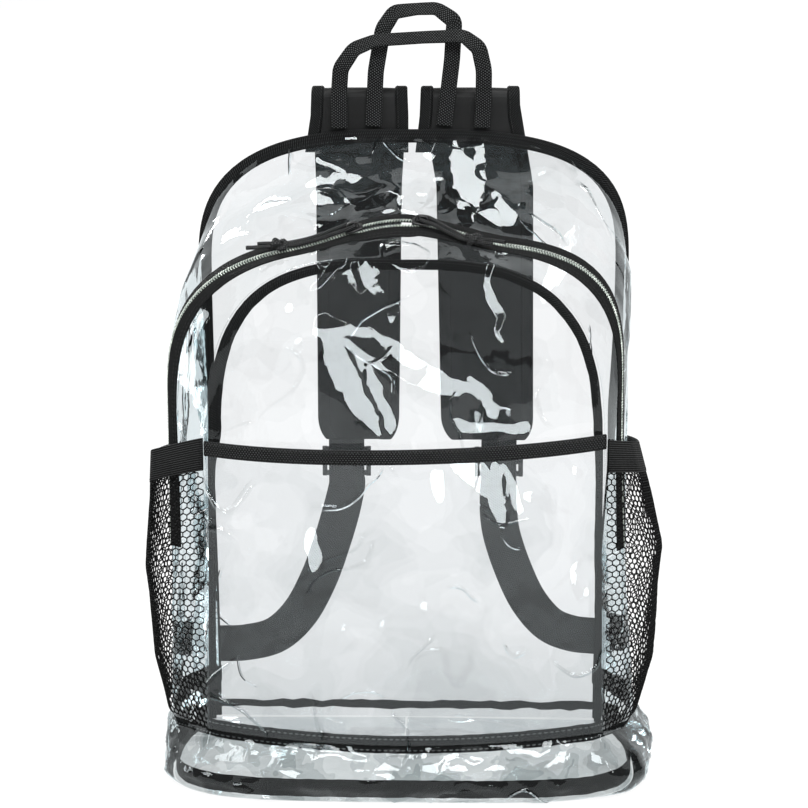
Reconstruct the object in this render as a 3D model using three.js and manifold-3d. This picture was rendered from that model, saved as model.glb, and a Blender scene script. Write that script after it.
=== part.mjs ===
// A clear film backpack with black bindings, standing on its base as it does on a shelf.
// Millimetres. +Z is up, the front faces -Y, and the origin is on the floor under the middle of the bag.
import * as THREE from "three";
import { mergeVertices } from "three/addons/utils/BufferGeometryUtils.js";
import Module from "manifold-3d";

const wasm = await Module();
wasm.setup();

// Driving sizes of the sheet materials and of the clearances between pieces
const film = 1.2;
const gap = 0.4;
const tapeThickness = 1.0;
const webbingThickness = 1.4;
const meshThickness = 1.2;
const seat = film + gap;

// Driving sizes of the body
const floorThickness = 1.2;
const zipEndHeight = 165;

// The three seam arches: half widths to each side at the springing and at the foot, the height of the foot,
// the height where the round top springs and the height of the top, the powers of the top's superellipse on
// each side, how far the middle of the top peaks above it, and how far the top leans back
const backArch = {
  y: 76,
  left: 151,
  right: 160,
  footLeft: 146,
  footRight: 146,
  foot: 36,
  spring: 340,
  apex: 441,
  powerLeft: 2.8,
  powerRight: 3.1,
  peak: 0,
  lean: 0,
};
const zipArch = {
  y: -38,
  left: 158,
  right: 147,
  footLeft: 158,
  footRight: 155,
  foot: 40,
  spring: 268,
  apex: 372,
  powerLeft: 2.8,
  powerRight: 3.6,
  peak: 13,
  lean: 4,
};
const frontArch = {
  y: -76,
  left: 129,
  right: 134,
  footLeft: 131,
  footRight: 136,
  foot: 46,
  spring: 230,
  apex: 366,
  powerLeft: 2.7,
  powerRight: 2.7,
  peak: 0,
  lean: 10,
};
const zipPeakHalfWidth = 75;

// Driving sizes of the slip pocket over the front panel
const pocketTopLeft = 246;
const pocketTopRight = 252;
const pocketTopSag = 5;
const pocketFullness = 9;
const pocketBindingHeight = 10;

// Driving sizes of the bindings and tapes
const bindingWidth = 10;
const bindingWall = 1;
const frontBindingThickness = 2;
const frontBindingSide = { inset: 4, width: 9.5 };
const frontBindingTop = { inset: 2, width: 6.5 };
const bootTapeHeight = 13;
const bootTapeThickness = 1.6;
const floorBindingHeight = 13;
const floorBindingThickness = 1.6;

// Driving sizes of the floor and the boot
const floorHalfWidth = 161;
const floorBackHalfWidth = 148;
const floorFront = 90;
const floorBack = 76.6;
const floorCornerPower = 4;
const bootFadeStart = 35;
const seamSag = 5;

// Driving sizes of the zip
const coilRowWidth = 2.3;
const coilHeight = 2.4;
const zipTapeWidth = 9;
const openMiddle = -10;
const openHalfLength = 24;
const openTaper = 8;
const openShift = 2.2;
const sliderOffset = 22;
const sliderLength = 12;
const sliderWidth = 9;
const sliderPlate = 1.2;
const postWidth = 1.6;
const postLength = 2;
const bailWidth = 2.2;
const bailHeight = 4.3;
const bailBar = 1;
const bailLength = 8.4;
const bailFoot = 1;
const cordRadius = 1.1;
const knotLength = 12;
const knotWidth = 9;
const knotHeight = 6;
const tailLength = 15;

// Driving sizes of the mesh side pockets
const elasticHeight = 22;
const elasticThickness = 1.6;
const meshRimHeight = 247;
const meshZipShare = 0.25;

// Driving sizes of the haul handles
const handleWidth = 11.5;
const handleThickness = 2.2;

// Driving sizes of the shoulder straps
const padThickness = 5;
const foldRadius = 4.8;
const foldHeight = 470;
const strapSewnHeight = 424;
const strapEndHeight = 212;
const strapBindingWidth = 9;
const loopWidth = 26;
const adjusterWidth = 36;
const adjusterThickness = 3.6;
const adjusterBar = 4;
const adjusterSlot = 5;
const adjusterSide = 3.5;
const lowerWebbingWidth = 28;
const adjusterShift = { left: -9, right: 8 };

// Places along the round top of an arch: shares of its half width near the middle, and shares of its rise
// near the sides
const topShares = [0.06, 0.12, 0.18, 0.25, 0.35, 0.5, 0.65, 0.8];
const sideShares = [0.72, 0.58, 0.4, 0.2];

// How many steps the other curves are drawn with
const lowerSteps = 3;
const upperSteps = 3;
const panelRows = 6;
const pocketColumns = 12;
const sideSteps = 6;
const meshColumns = 9;
const meshRows = 7;

// Shares of the height from the foot to the springing, with how far the film bows out between its rails
const sideFullness = [
  { share: 0, bow: 14 },
  { share: 0.4, bow: 8 },
  { share: 1, bow: 4 },
];
const topSag = 4;

// Shares of the front panel's height, with how far its middle stands in front of its edges
const frontFullness = [
  { share: 0, bow: 16 },
  { share: 0.3, bow: 9 },
  { share: 0.65, bow: 6 },
  { share: 1, bow: 1.5 },
];

// Shares of the boot's height, with how far its wall stands outside a straight line from floor to seam
const bootFullness = [
  { share: 0, left: 0, right: 0, front: 0 },
  { share: 0.1, left: 5, right: 9, front: 5 },
  { share: 0.32, left: 6, right: 15, front: 9 },
  { share: 0.62, left: 4, right: 13, front: 8 },
  { share: 0.85, left: 2, right: 6, front: 4 },
  { share: 1, left: 0, right: 0, front: 0 },
];

// Shares of the mesh pocket's height, with how far it stands off the side of the bag
const meshFullness = {
  left: [
    { share: 0, bow: 0 },
    { share: 0.2, bow: 10 },
    { share: 0.55, bow: 17 },
    { share: 1, bow: 12 },
  ],
  right: [
    { share: 0, bow: 0 },
    { share: 0.2, bow: 12 },
    { share: 0.6, bow: 21 },
    { share: 0.85, bow: 13 },
    { share: 1, bow: 6 },
  ],
};

// Shares of the mesh pocket's width from front to back, with how far its rim drops
const rimDrops = {
  left: [
    { share: 0, drop: 0 },
    { share: 0.3, drop: 19 },
    { share: 0.5, drop: 24 },
    { share: 1, drop: 30 },
  ],
  right: [
    { share: 0, drop: 0 },
    { share: 0.3, drop: 10 },
    { share: 0.5, drop: 16 },
    { share: 1, drop: 26 },
  ],
};

// Shoulder straps: shares of the way from the fold down to the free end, with the middle and half the
// width of the strap there. The part before the fold is at a share below zero
const strapTables = {
  left: [
    { share: -0.2, centre: -36, half: 37 },
    { share: -0.1, centre: -34, half: 35 },
    { share: 0, centre: -34, half: 34 },
    { share: 0.25, centre: -35, half: 31 },
    { share: 0.94, centre: -36, half: 30 },
    { share: 1, centre: -36, half: 22 },
  ],
  right: [
    { share: -0.2, centre: 46, half: 40 },
    { share: -0.1, centre: 45, half: 36 },
    { share: 0, centre: 45, half: 35 },
    { share: 0.25, centre: 56, half: 35 },
    { share: 0.94, centre: 59, half: 34 },
    { share: 1, centre: 60, half: 26 },
  ],
};

// The webbing from each adjuster to the bottom corner: across, up from the floor, and out from the back
// panel's middle
const lowerRoutes = {
  left: [
    { x: -49, z: 158, out: 17 },
    { x: -56, z: 134, out: 15 },
    { x: -66, z: 106, out: 12 },
    { x: -80, z: 80, out: 8.5 },
    { x: -98, z: 63, out: 6.5 },
    { x: -120, z: 57, out: 5.2 },
    { x: -142, z: 56, out: 4.8 },
  ],
  right: [
    { x: 68, z: 158, out: 17 },
    { x: 71, z: 138, out: 15 },
    { x: 80, z: 112, out: 12 },
    { x: 91, z: 90, out: 8.5 },
    { x: 106, z: 73, out: 6.5 },
    { x: 123, z: 66, out: 5.2 },
    { x: 142, z: 64, out: 4.8 },
  ],
};

// The haul handles' lines: across, up from the seam, and how far the webbing has turned from facing
// forward, with the height over which each handle leans
const handleRoutes = {
  wide: {
    depth: -3,
    lean: -8,
    leanHeight: 66,
    points: [
      { x: -48, up: 0, turn: 0 },
      { x: -48, up: 24, turn: 0 },
      { x: -46.5, up: 43, turn: 4 },
      { x: -37, up: 56, turn: 28 },
      { x: -22, up: 61.5, turn: 44 },
      { x: 12, up: 63.5, turn: 46 },
      { x: 40, up: 65, turn: 42 },
      { x: 51, up: 57, turn: 16 },
      { x: 54.5, up: 42, turn: 2 },
      { x: 54.5, up: 24, turn: 0 },
      { x: 53.5, up: 0, turn: 0 },
    ],
  },
  tall: {
    depth: 0,
    lean: 2,
    leanHeight: 84,
    points: [
      { x: -24, up: 0, turn: 0 },
      { x: -22, up: 40, turn: 0 },
      { x: -17, up: 69, turn: 6 },
      { x: -8, up: 80, turn: 30 },
      { x: 7, up: 83, turn: 46 },
      { x: 22, up: 82, turn: 40 },
      { x: 33, up: 72, turn: 10 },
      { x: 32, up: 48, turn: 0 },
      { x: 26.5, up: 0, turn: 0 },
    ],
  },
};

// The cord pulls: shares of the way from the slider to the knot, with how far the cord has drifted towards
// the front, how far apart its two legs lie and how high it rides over the tape
const pullTable = [
  { share: 0, drift: 0, spread: 2.7, lift: 4.9 },
  { share: 0.15, drift: 0.6, spread: 2.7, lift: 4.6 },
  { share: 0.45, drift: 5, spread: 2, lift: 3.4 },
  { share: 0.8, drift: 10, spread: 1.5, lift: 3 },
  { share: 1, drift: 12, spread: 1.3, lift: 4.6 },
];
const pullReach = { left: 50, right: 38 };
const pullDrift = { left: -0.15, right: 0.9 };

const materials = {
  clear: new THREE.MeshStandardMaterial({
    color: 0xe6eaec,
    roughness: 0.08,
    metalness: 0,
    transparent: true,
    opacity: 0.3,
  }),
  webbing: new THREE.MeshStandardMaterial({ color: 0x141515, roughness: 0.8, metalness: 0 }),
  elastic: new THREE.MeshStandardMaterial({ color: 0x191a1a, roughness: 0.85, metalness: 0 }),
  mesh: new THREE.MeshStandardMaterial({ color: 0x1b1c1c, roughness: 0.9, metalness: 0 }),
  padding: new THREE.MeshStandardMaterial({ color: 0x202121, roughness: 0.85, metalness: 0 }),
  coil: new THREE.MeshStandardMaterial({ color: 0xb4b9ae, roughness: 0.4, metalness: 0.2 }),
  slider: new THREE.MeshStandardMaterial({ color: 0x1a1a1a, roughness: 0.35, metalness: 0.6 }),
  plastic: new THREE.MeshStandardMaterial({ color: 0x161616, roughness: 0.45, metalness: 0 }),
};

const bag = new THREE.Group();
bag.name = "clear_backpack";

const { lerp, degToRad } = THREE.MathUtils;
const smooth = (t) => THREE.MathUtils.smoothstep(t, 0, 1);
const vector = (x, y, z) => new THREE.Vector3(x, y, z);
const mix = (a, b, t) => a.clone().lerp(b, t);
const steps = (count) => Array.from({ length: count + 1 }, (_, i) => i / count);
const sides = [
  { name: "left", sign: -1 },
  { name: "right", sign: 1 },
];

// The value of one column of a table, between its rows.
function lookUp(table, share, column) {
  const next = table.findIndex((row) => row.share > share);
  if (next === 0) return table[0][column];
  if (next < 0) return table.at(-1)[column];
  const [a, b] = [table[next - 1], table[next]];
  return lerp(a[column], b[column], (share - a.share) / (b.share - a.share));
}

// Adds pieces to a named group of the bag, from [name, geometry, material] rows.
function place(groupName, ...rows) {
  const group = bag.getObjectByName(groupName) ?? new THREE.Group();
  group.name = groupName;
  bag.add(group);
  for (const [name, geometry, material] of rows) {
    const piece = new THREE.Mesh(geometry, material);
    piece.name = name;
    group.add(piece);
  }
}

// A geometry from points and triangles, turned so that its faces point out.
function geometryOf(points, triangles) {
  const geometry = new THREE.BufferGeometry();
  const flat = points.flatMap((p) => [p.x, p.y, p.z]);
  geometry.setAttribute("position", new THREE.Float32BufferAttribute(flat, 3));
  const volume = triangles.reduce(
    (sum, [a, b, c]) => sum + points[a].dot(points[b].clone().cross(points[c])),
    0,
  );
  geometry.setIndex((volume < 0 ? triangles.map(([a, b, c]) => [a, c, b]) : triangles).flat());
  return geometry;
}

// The unit normal of a grid of points at one of them, from its neighbours.
function gridNormal(grid, i, j) {
  const along = grid[Math.min(i + 1, grid.length - 1)][j].clone().sub(grid[Math.max(i - 1, 0)][j]);
  const across = grid[i][Math.min(j + 1, grid[0].length - 1)].clone().sub(grid[i][Math.max(j - 1, 0)]);
  return along.cross(across).normalize();
}

// A closed wall of even thickness round a grid of points.
function wallSolid(grid, thickness) {
  const rows = grid.length;
  const columns = grid[0].length;
  const points = [0.5, -0.5].flatMap((side) =>
    grid.flatMap((row, i) =>
      row.map((p, j) => p.clone().addScaledVector(gridNormal(grid, i, j), side * thickness)),
    ),
  );
  const at = (side, i, j) => (side * rows + i) * columns + j;
  const triangles = [];
  const quad = (a, b, c, d) => triangles.push([a, b, c], [a, c, d]);
  for (let i = 0; i + 1 < rows; i++) {
    for (let j = 0; j + 1 < columns; j++) {
      quad(at(0, i, j), at(0, i + 1, j), at(0, i + 1, j + 1), at(0, i, j + 1));
      quad(at(1, i, j), at(1, i, j + 1), at(1, i + 1, j + 1), at(1, i + 1, j));
    }
    quad(at(0, i + 1, 0), at(0, i, 0), at(1, i, 0), at(1, i + 1, 0));
    const end = columns - 1;
    quad(at(0, i, end), at(0, i + 1, end), at(1, i + 1, end), at(1, i, end));
  }
  for (let j = 0; j + 1 < columns; j++) {
    quad(at(0, 0, j), at(0, 0, j + 1), at(1, 0, j + 1), at(1, 0, j));
    const end = rows - 1;
    quad(at(0, end, j + 1), at(0, end, j), at(1, end, j), at(1, end, j + 1));
  }
  return geometryOf(points, triangles);
}

// A closed strip: a section of [across, out] pairs carried through frames of origin, across and out.
// The section may be a function of the frame's number. A loop joins its end to its start.
function stripSolid(frames, section, loop = false) {
  const sections = frames.map((_, i) => (typeof section === "function" ? section(i) : section));
  const corners = sections[0].length;
  const points = frames.flatMap((frame, i) =>
    sections[i].map(([across, out]) =>
      frame.origin.clone().addScaledVector(frame.across, across).addScaledVector(frame.out, out),
    ),
  );
  const triangles = [];
  const spans = loop ? frames.length : frames.length - 1;
  for (let i = 0; i < spans; i++) {
    const next = (i + 1) % frames.length;
    for (let k = 0; k < corners; k++) {
      const turn = (k + 1) % corners;
      const [a, b] = [i * corners + k, i * corners + turn];
      const [c, d] = [next * corners + turn, next * corners + k];
      triangles.push([a, b, c], [a, c, d]);
    }
  }
  if (!loop) {
    const outline = sections[0].map(([x, y]) => new THREE.Vector2(x, y));
    const last = (frames.length - 1) * corners;
    for (let [a, b, c] of THREE.ShapeUtils.triangulateShape(outline, [])) {
      if (signedArea(outline[a], outline[b], outline[c]) * THREE.ShapeUtils.area(outline) < 0) {
        [b, c] = [c, b];
      }
      triangles.push([a, c, b], [last + a, last + b, last + c]);
    }
  }
  return geometryOf(points, triangles);
}

const signedArea = (a, b, c) => (b.x - a.x) * (c.y - a.y) - (c.x - a.x) * (b.y - a.y);

const rectangle = (acrossLow, acrossHigh, outLow, outHigh) => [
  [acrossLow, outLow],
  [acrossHigh, outLow],
  [acrossHigh, outHigh],
  [acrossLow, outHigh],
];

// The section of a tape folded over an edge, with the fold at zero and its two sides towards plus across.
function foldedTape(width, holds, wall) {
  const inner = holds / 2 + gap;
  const outer = inner + wall;
  return [
    [0, -outer],
    [width, -outer],
    [width, -inner],
    [wall, -inner],
    [wall, inner],
    [width, inner],
    [width, outer],
    [0, outer],
  ];
}

// Frames along a line of points, lying in the plane across a normal, each turned about the line by degrees.
function framesAlong(points, normal, turns = points.map(() => 0)) {
  return points.map((origin, i) => {
    const tangent = points[Math.min(i + 1, points.length - 1)].clone().sub(points[Math.max(i - 1, 0)]);
    const flat = tangent.cross(normal).normalize();
    const angle = degToRad(turns[i]);
    const across = flat.clone().multiplyScalar(Math.cos(angle)).addScaledVector(normal, Math.sin(angle));
    const out = normal.clone().multiplyScalar(Math.cos(angle)).addScaledVector(flat, -Math.sin(angle));
    return { origin, across, out };
  });
}

// Joins closed geometries into one body.
function joined(...geometries) {
  const solids = geometries.map((geometry) => {
    const bare = geometry.clone();
    bare.deleteAttribute("normal");
    bare.deleteAttribute("uv");
    const merged = mergeVertices(bare, 1e-4);
    return new wasm.Manifold(
      new wasm.Mesh({
        numProp: 3,
        vertProperties: merged.attributes.position.array,
        triVerts: new Uint32Array(merged.index.array),
      }),
    );
  });
  const mesh = solids.reduce((a, b) => a.add(b)).getMesh();
  const geometry = new THREE.BufferGeometry();
  geometry.setAttribute("position", new THREE.BufferAttribute(mesh.vertProperties, 3));
  geometry.setIndex(new THREE.BufferAttribute(mesh.triVerts, 1));
  return geometry;
}

// A box between two corners, put into a frame of origin, along, across and out.
function boxIn(frame, low, high) {
  const box = new THREE.BoxGeometry(...low.map((value, i) => high[i] - value));
  box.translate(...low.map((value, i) => (high[i] + value) / 2));
  const turn = new THREE.Matrix4().makeBasis(frame.along, frame.across, frame.out);
  return box.applyMatrix4(turn.setPosition(frame.origin));
}

// A round cord through points.
function cordSolid(points, radius) {
  const ring = steps(6)
    .slice(1)
    .map((t) => new THREE.Vector2(radius * Math.cos(2 * Math.PI * t), radius * Math.sin(2 * Math.PI * t)));
  return new THREE.ExtrudeGeometry(new THREE.Shape(ring), {
    steps: points.length * 2,
    bevelEnabled: false,
    extrudePath: new THREE.CatmullRomCurve3(points),
  });
}

// Places along an arch: up the left side, over the round top and down the right side
const lowerLeft = steps(lowerSteps).map((rise) => ({ sign: -1, zone: "lower", rise }));
const upperLeft = steps(upperSteps).map((rise) => ({ sign: -1, zone: "upper", rise }));
const quarter = [
  ...sideShares.map((share) => Math.asin(share ** 1.5)).reverse(),
  ...topShares.map((share) => Math.acos(share ** 1.5)).reverse(),
];
const roundTop = [
  ...quarter.map((angle) => ({ angle: Math.PI - angle })),
  { angle: Math.PI / 2 },
  ...quarter.map((angle) => ({ angle })).reverse(),
];
const mirrored = (list) => list.map((station) => ({ ...station, sign: 1 })).reverse();
const upperStations = [...upperLeft, ...roundTop, ...mirrored(upperLeft)];
const fullStations = [...lowerLeft.slice(0, -1), ...upperStations, ...mirrored(lowerLeft).slice(1)];

// Half the width of an arch on one side at a height below its springing.
function halfWidth(arch, sign, height, inset = 0) {
  const foot = sign < 0 ? arch.footLeft : arch.footRight;
  const spring = sign < 0 ? arch.left : arch.right;
  return lerp(foot, spring, smooth((height - arch.foot) / (arch.spring - arch.foot))) - inset;
}

// How far back an arch lies at a height.
function depthAt(arch, height) {
  const share = Math.max(0, (height - arch.spring) / (arch.apex - arch.spring));
  return arch.y + arch.lean * share * share;
}

// The height of a station on the straight side of an arch.
function heightAt(arch, station, foot = arch.foot) {
  if (station.z !== undefined) return station.z;
  const [low, high] = station.zone === "lower" ? [foot, zipEndHeight] : [zipEndHeight, arch.spring];
  return lerp(low, high, station.rise);
}

// The power of an arch's superellipse on the side of a place across the bag.
const powerAt = (arch, x) => (x < 0 ? arch.powerLeft : arch.powerRight);

// The point of an arch at a station, moved in from its outline by an inset.
function archPoint(arch, station, inset = 0, foot = arch.foot) {
  if (station.angle === undefined) {
    const z = heightAt(arch, station, foot);
    return vector(station.sign * halfWidth(arch, station.sign, z, inset), depthAt(arch, z), z);
  }
  const cos = Math.cos(station.angle);
  const half = (cos < 0 ? arch.left : arch.right) - inset;
  const power = 2 / powerAt(arch, cos);
  const x = half * Math.sign(cos) * Math.abs(cos) ** power;
  const rise = (arch.apex - inset - arch.spring) * Math.sin(station.angle) ** power;
  const peak = arch.peak * (1 - smooth(Math.abs(x) / zipPeakHalfWidth));
  return vector(x, depthAt(arch, arch.spring + rise), arch.spring + rise + peak);
}

// The direction out of the bag at a station, across the opening that the arches go round.
const outwardAt = (station) =>
  station.angle === undefined
    ? vector(station.sign, 0, 0)
    : vector(Math.cos(station.angle), 0, Math.sin(station.angle));

// How far the film bows out between its rails at a station.
function bowAt(station) {
  if (station.angle !== undefined) {
    return lerp(sideFullness.at(-1).bow, -topSag, Math.sin(station.angle));
  }
  const height = heightAt(zipArch, station) - zipArch.foot;
  return lookUp(sideFullness, height / (zipArch.spring - zipArch.foot), "bow");
}

// The lines at which the film meets the back binding, the zip and the front panel
const backRail = (station) =>
  archPoint(backArch, station, bindingWidth / 2).add(
    vector(0, -(film / 2 + gap + bindingWall + 2 * gap), 0),
  );
const zipRail = (station) => archPoint(zipArch, station);
const frontRail = (station) => archPoint(frontArch, station, film / 2).add(vector(0, seat, 0));

// A point of the film between the zip's line and the back binding, and one between the front seam and it.
function rearFilmPoint(station, share) {
  const bow = bowAt(station) * 4 * share * (1 - share);
  return mix(zipRail(station), backRail(station), share).addScaledVector(outwardAt(station), bow);
}
const frontFilmPoint = (station, share) => mix(frontRail(station), zipRail(station), share);

// The side film at a station, from the front seam round to the back binding.
function sideProfile(station) {
  const front = [0, 0.5].map((share) => frontFilmPoint(station, share));
  return [...front, ...steps(sideSteps).map((share) => rearFilmPoint(station, share))];
}

// How far the two rows of the zip have parted at a place across the bag.
const openingAt = (x) => openShift * smooth((openHalfLength - Math.abs(x - openMiddle)) / openTaper);

// The frame of the zip at a station: along it, across towards the front, and out of the bag. It lies level
// between the two films, or along the front one when it is told to.
function zipFrame(station, alongFront = false) {
  const origin = zipRail(station);
  const across = frontRail(station).sub(alongFront ? origin : backRail(station)).normalize();
  const move = (by) =>
    station.angle === undefined ? { ...station, rise: station.rise + by } : { angle: station.angle + by };
  const along = zipRail(move(0.01)).sub(zipRail(move(-0.01))).normalize();
  const out = along.clone().cross(across).normalize();
  if (out.dot(outwardAt(station)) < 0) out.negate();
  return { origin, along, across, out };
}

// A point beside the zip: across from its middle and out from it, level at first and then along the front film.
function besideZip(station, across, lift, bend) {
  const [level, front] = [zipFrame(station), zipFrame(station, true)];
  return level.origin
    .addScaledVector(mix(level.across, front.across, bend), across)
    .addScaledVector(mix(level.out, front.out, bend), lift);
}

// The station of the zip's line at a place across the bag.
function zipStationAt(x) {
  const share = Math.abs(x) / (x < 0 ? zipArch.left : zipArch.right);
  return { angle: Math.acos(Math.sign(x) * share ** (powerAt(zipArch, x) / 2)) };
}

// Columns across an arched panel, as shares of its half width, with the height of the arch over each.
function archColumns(arch, inset) {
  return [{ angle: Math.PI }, ...roundTop, { angle: 0 }].map(({ angle }) => {
    const cos = Math.cos(angle);
    const power = 2 / powerAt(arch, cos);
    const column = Math.abs(cos) < 1e-6 ? 0 : Math.sign(cos) * Math.abs(cos) ** power;
    const rise = (arch.apex - inset - arch.spring) * Math.abs(Math.sin(angle)) ** power;
    return { column, top: arch.spring + rise };
  });
}

// A point of the front panel, or forward of it.
function frontPoint(column, height, forward = 0) {
  const share = (height - frontArch.foot) / (frontArch.apex - frontArch.foot);
  const bow = lookUp(frontFullness, share, "bow") * (1 - column * column);
  const x = column * halfWidth(frontArch, Math.sign(column), height);
  return vector(x, depthAt(frontArch, height) - bow - forward, height);
}

// The height of the seam between the front panel and the boot.
const frontFoot = (column) => frontArch.foot - seamSag * (1 - column * column);

// Slip pocket: a film in front of the front panel, open along its bound top edge
const pocketTop = (column) =>
  lerp(pocketTopLeft, pocketTopRight, (column + 1) / 2) - pocketTopSag * (1 - column * column);
function pocketPoint(column, rise, height) {
  const edge = lerp(seat, film + 3 * gap + bindingWall, rise);
  const fullness = pocketFullness * (1 - column ** 4) * smooth(rise * 1.6);
  return frontPoint(column, height, edge + fullness);
}
const pocketColumnList = steps(pocketColumns).map((share) => share * 2 - 1);

function buildPanels() {
  const inset = bindingWall + gap;
  const back = archColumns(backArch, inset).map(({ column, top }) =>
    steps(panelRows).map((share) => {
      const z = lerp(floorThickness + gap, top, share);
      return vector(column * halfWidth(backArch, Math.sign(column), z, inset), backArch.y, z);
    }),
  );
  const front = archColumns(frontArch, 0).map(({ column, top }) =>
    steps(panelRows).map((share) => frontPoint(column, lerp(frontFoot(column) + gap, top, share))),
  );
  const pocket = pocketColumnList.map((column) =>
    steps(panelRows).map((rise) => {
      const top = pocketTop(column) - bindingWall - gap;
      return pocketPoint(column, rise, lerp(frontFoot(column) + gap, top, rise));
    }),
  );
  place(
    "panels",
    ["back_panel", wallSolid(back, film), materials.clear],
    ["front_panel", wallSolid(front, film), materials.clear],
    ["slip_pocket", wallSolid(pocket, film), materials.clear],
  );
}

// The two sides of the zip: which way they lie from it, and the films that their tapes are sewn to
const zipSides = {
  rear: { sign: -1, rail: backRail, pointAt: rearFilmPoint, columns: 4 },
  front: {
    sign: 1,
    rail: frontRail,
    pointAt: (station, share) => frontFilmPoint(station, 1 - share),
    columns: 2,
  },
};

// A point of the film on one side of the zip, from the tape's edge to the seam.
function gussetPoint({ rail, pointAt }, station, share) {
  const shift = station.angle === undefined ? 0 : openingAt(zipRail(station).x);
  const start = coilRowWidth + zipTapeWidth + 3 * gap + shift;
  return pointAt(station, lerp(start / zipRail(station).distanceTo(rail(station)), 1, share));
}

function buildGussets() {
  for (const [name, side] of Object.entries(zipSides)) {
    const grid = upperStations.map((station) =>
      steps(side.columns).map((share) => gussetPoint(side, station, share)),
    );
    place("panels", [`${name}_gusset`, wallSolid(grid, film), materials.clear]);
  }
  for (const { name, sign } of sides) {
    const lift = (2 * gap) / (zipEndHeight - zipArch.foot);
    const grid = steps(lowerSteps).map((rise) =>
      sideProfile({ sign, zone: "lower", rise: lerp(lift, 1 - lift, rise) }),
    );
    place("panels", [`side_panel_${name}`, wallSolid(grid, film), materials.clear]);
  }
}

// The edge of the floor straight out from a point, and the way out of the bag there.
function floorEdge(point) {
  const sign = Math.sign(point.x);
  if (point.y >= 0) {
    const half = lerp(floorHalfWidth, floorBackHalfWidth, smooth(point.y / floorBack));
    return { edge: vector(sign * half, point.y, 0), direction: vector(sign, 0, 0) };
  }
  const [u, v] = [Math.abs(point.x) / floorHalfWidth, -point.y / floorFront];
  const reach = (u ** floorCornerPower + v ** floorCornerPower) ** (-1 / floorCornerPower);
  const direction = vector((sign * u ** 3) / floorHalfWidth, -(v ** 3) / floorFront, 0).normalize();
  return { edge: vector(point.x * reach, point.y * reach, 0), direction };
}

// The seam line round the top of the boot, from the back on the left over the front to the back on the right
const seamStation = (sign) => ({ sign, zone: "lower", rise: 0 });
const bootSeam = [
  ...sideProfile(seamStation(-1)).slice(1).reverse(),
  ...pocketColumnList.map((column) => pocketPoint(column, 0, frontFoot(column))),
  ...sideProfile(seamStation(1)).slice(1),
];

function buildBoot() {
  const grid = bootSeam.map((seam) => {
    const { edge, direction } = floorEdge(seam);
    const fade = 1 - smooth((seam.y - bootFadeStart) / (backArch.y - bootFadeStart));
    const start = edge.addScaledVector(direction, film / 2 + gap).setZ(film / 2);
    const end = seam.clone().add(vector(0, 0, -2 * gap));
    return bootFullness.map(({ share, left, right, front }) => {
      const out = lerp(front, direction.x < 0 ? left : right, direction.x ** 2) * fade;
      return mix(start, end, share).addScaledVector(direction, out);
    });
  });
  const rim = [vector(-1, floorBack, 0), ...bootSeam, vector(1, floorBack, 0)];
  const outline = rim.map((point) => floorEdge(point).edge).map(({ x, y }) => new THREE.Vector2(x, y));
  const floor = new THREE.ExtrudeGeometry(new THREE.Shape(outline), {
    depth: floorThickness,
    bevelEnabled: false,
  });
  place(
    "base",
    ["boot_wall", wallSolid(grid, film), materials.clear],
    ["floor_panel", floor, materials.clear],
    ["boot_tape", bootTape(), materials.webbing],
    ["floor_binding", floorBinding(), materials.webbing],
  );
}

// The stitched tape inside the boot's seam, from back to back round the front.
function bootTape() {
  const inside = film / 2 + gap + bootTapeThickness / 2;
  const side = (sign) => sideProfile(seamStation(sign)).slice(2);
  const front = pocketColumnList
    .map((column) => frontPoint(column * 0.95, frontFoot(column)))
    .map((p) => p.add(vector(0, inside + gap, 0)));
  const inward = (points) =>
    framesAlong(points, vector(0, 0, 1)).map(({ origin, across }) => {
      const away = across.dot(origin) > 0 ? -1 : 1;
      return origin.clone().addScaledVector(across, away * (inside + gap));
    });
  const line = [...inward(side(-1).reverse()), ...front, ...inward(side(1))];
  return tapeRound(line, bootTapeHeight, bootTapeThickness, false);
}

// The upright tape inside the edge of the floor.
function floorBinding() {
  const inside = gap + floorBindingThickness;
  const lift = floorThickness + gap + floorBindingHeight / 2;
  const line = bootSeam.slice(1, -1).map((seam) => {
    const { edge, direction } = floorEdge(seam);
    return edge.addScaledVector(direction, -inside).setZ(lift);
  });
  const back = backArch.y - film / 2 - bindingWall - 2 * gap - floorBindingThickness / 2;
  const half = floorBackHalfWidth - inside - 1;
  const behind = steps(4).map((share) => vector(lerp(half, -half, share), back, lift));
  return tapeRound([...line, ...behind], floorBindingHeight, floorBindingThickness, true);
}

// An upright tape that follows a line of points.
function tapeRound(line, height, thickness, loop) {
  const up = vector(0, 0, 1);
  const frames = line.map((origin, i) => {
    const before = loop ? line.at(i - 1) : line[Math.max(i - 1, 0)];
    const after = loop ? line[(i + 1) % line.length] : line[Math.min(i + 1, line.length - 1)];
    const out = after.clone().sub(before).setZ(0).normalize().cross(up);
    return { origin, across: up, out };
  });
  return stripSolid(frames, rectangle(-height / 2, height / 2, -thickness / 2, thickness / 2), loop);
}

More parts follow.
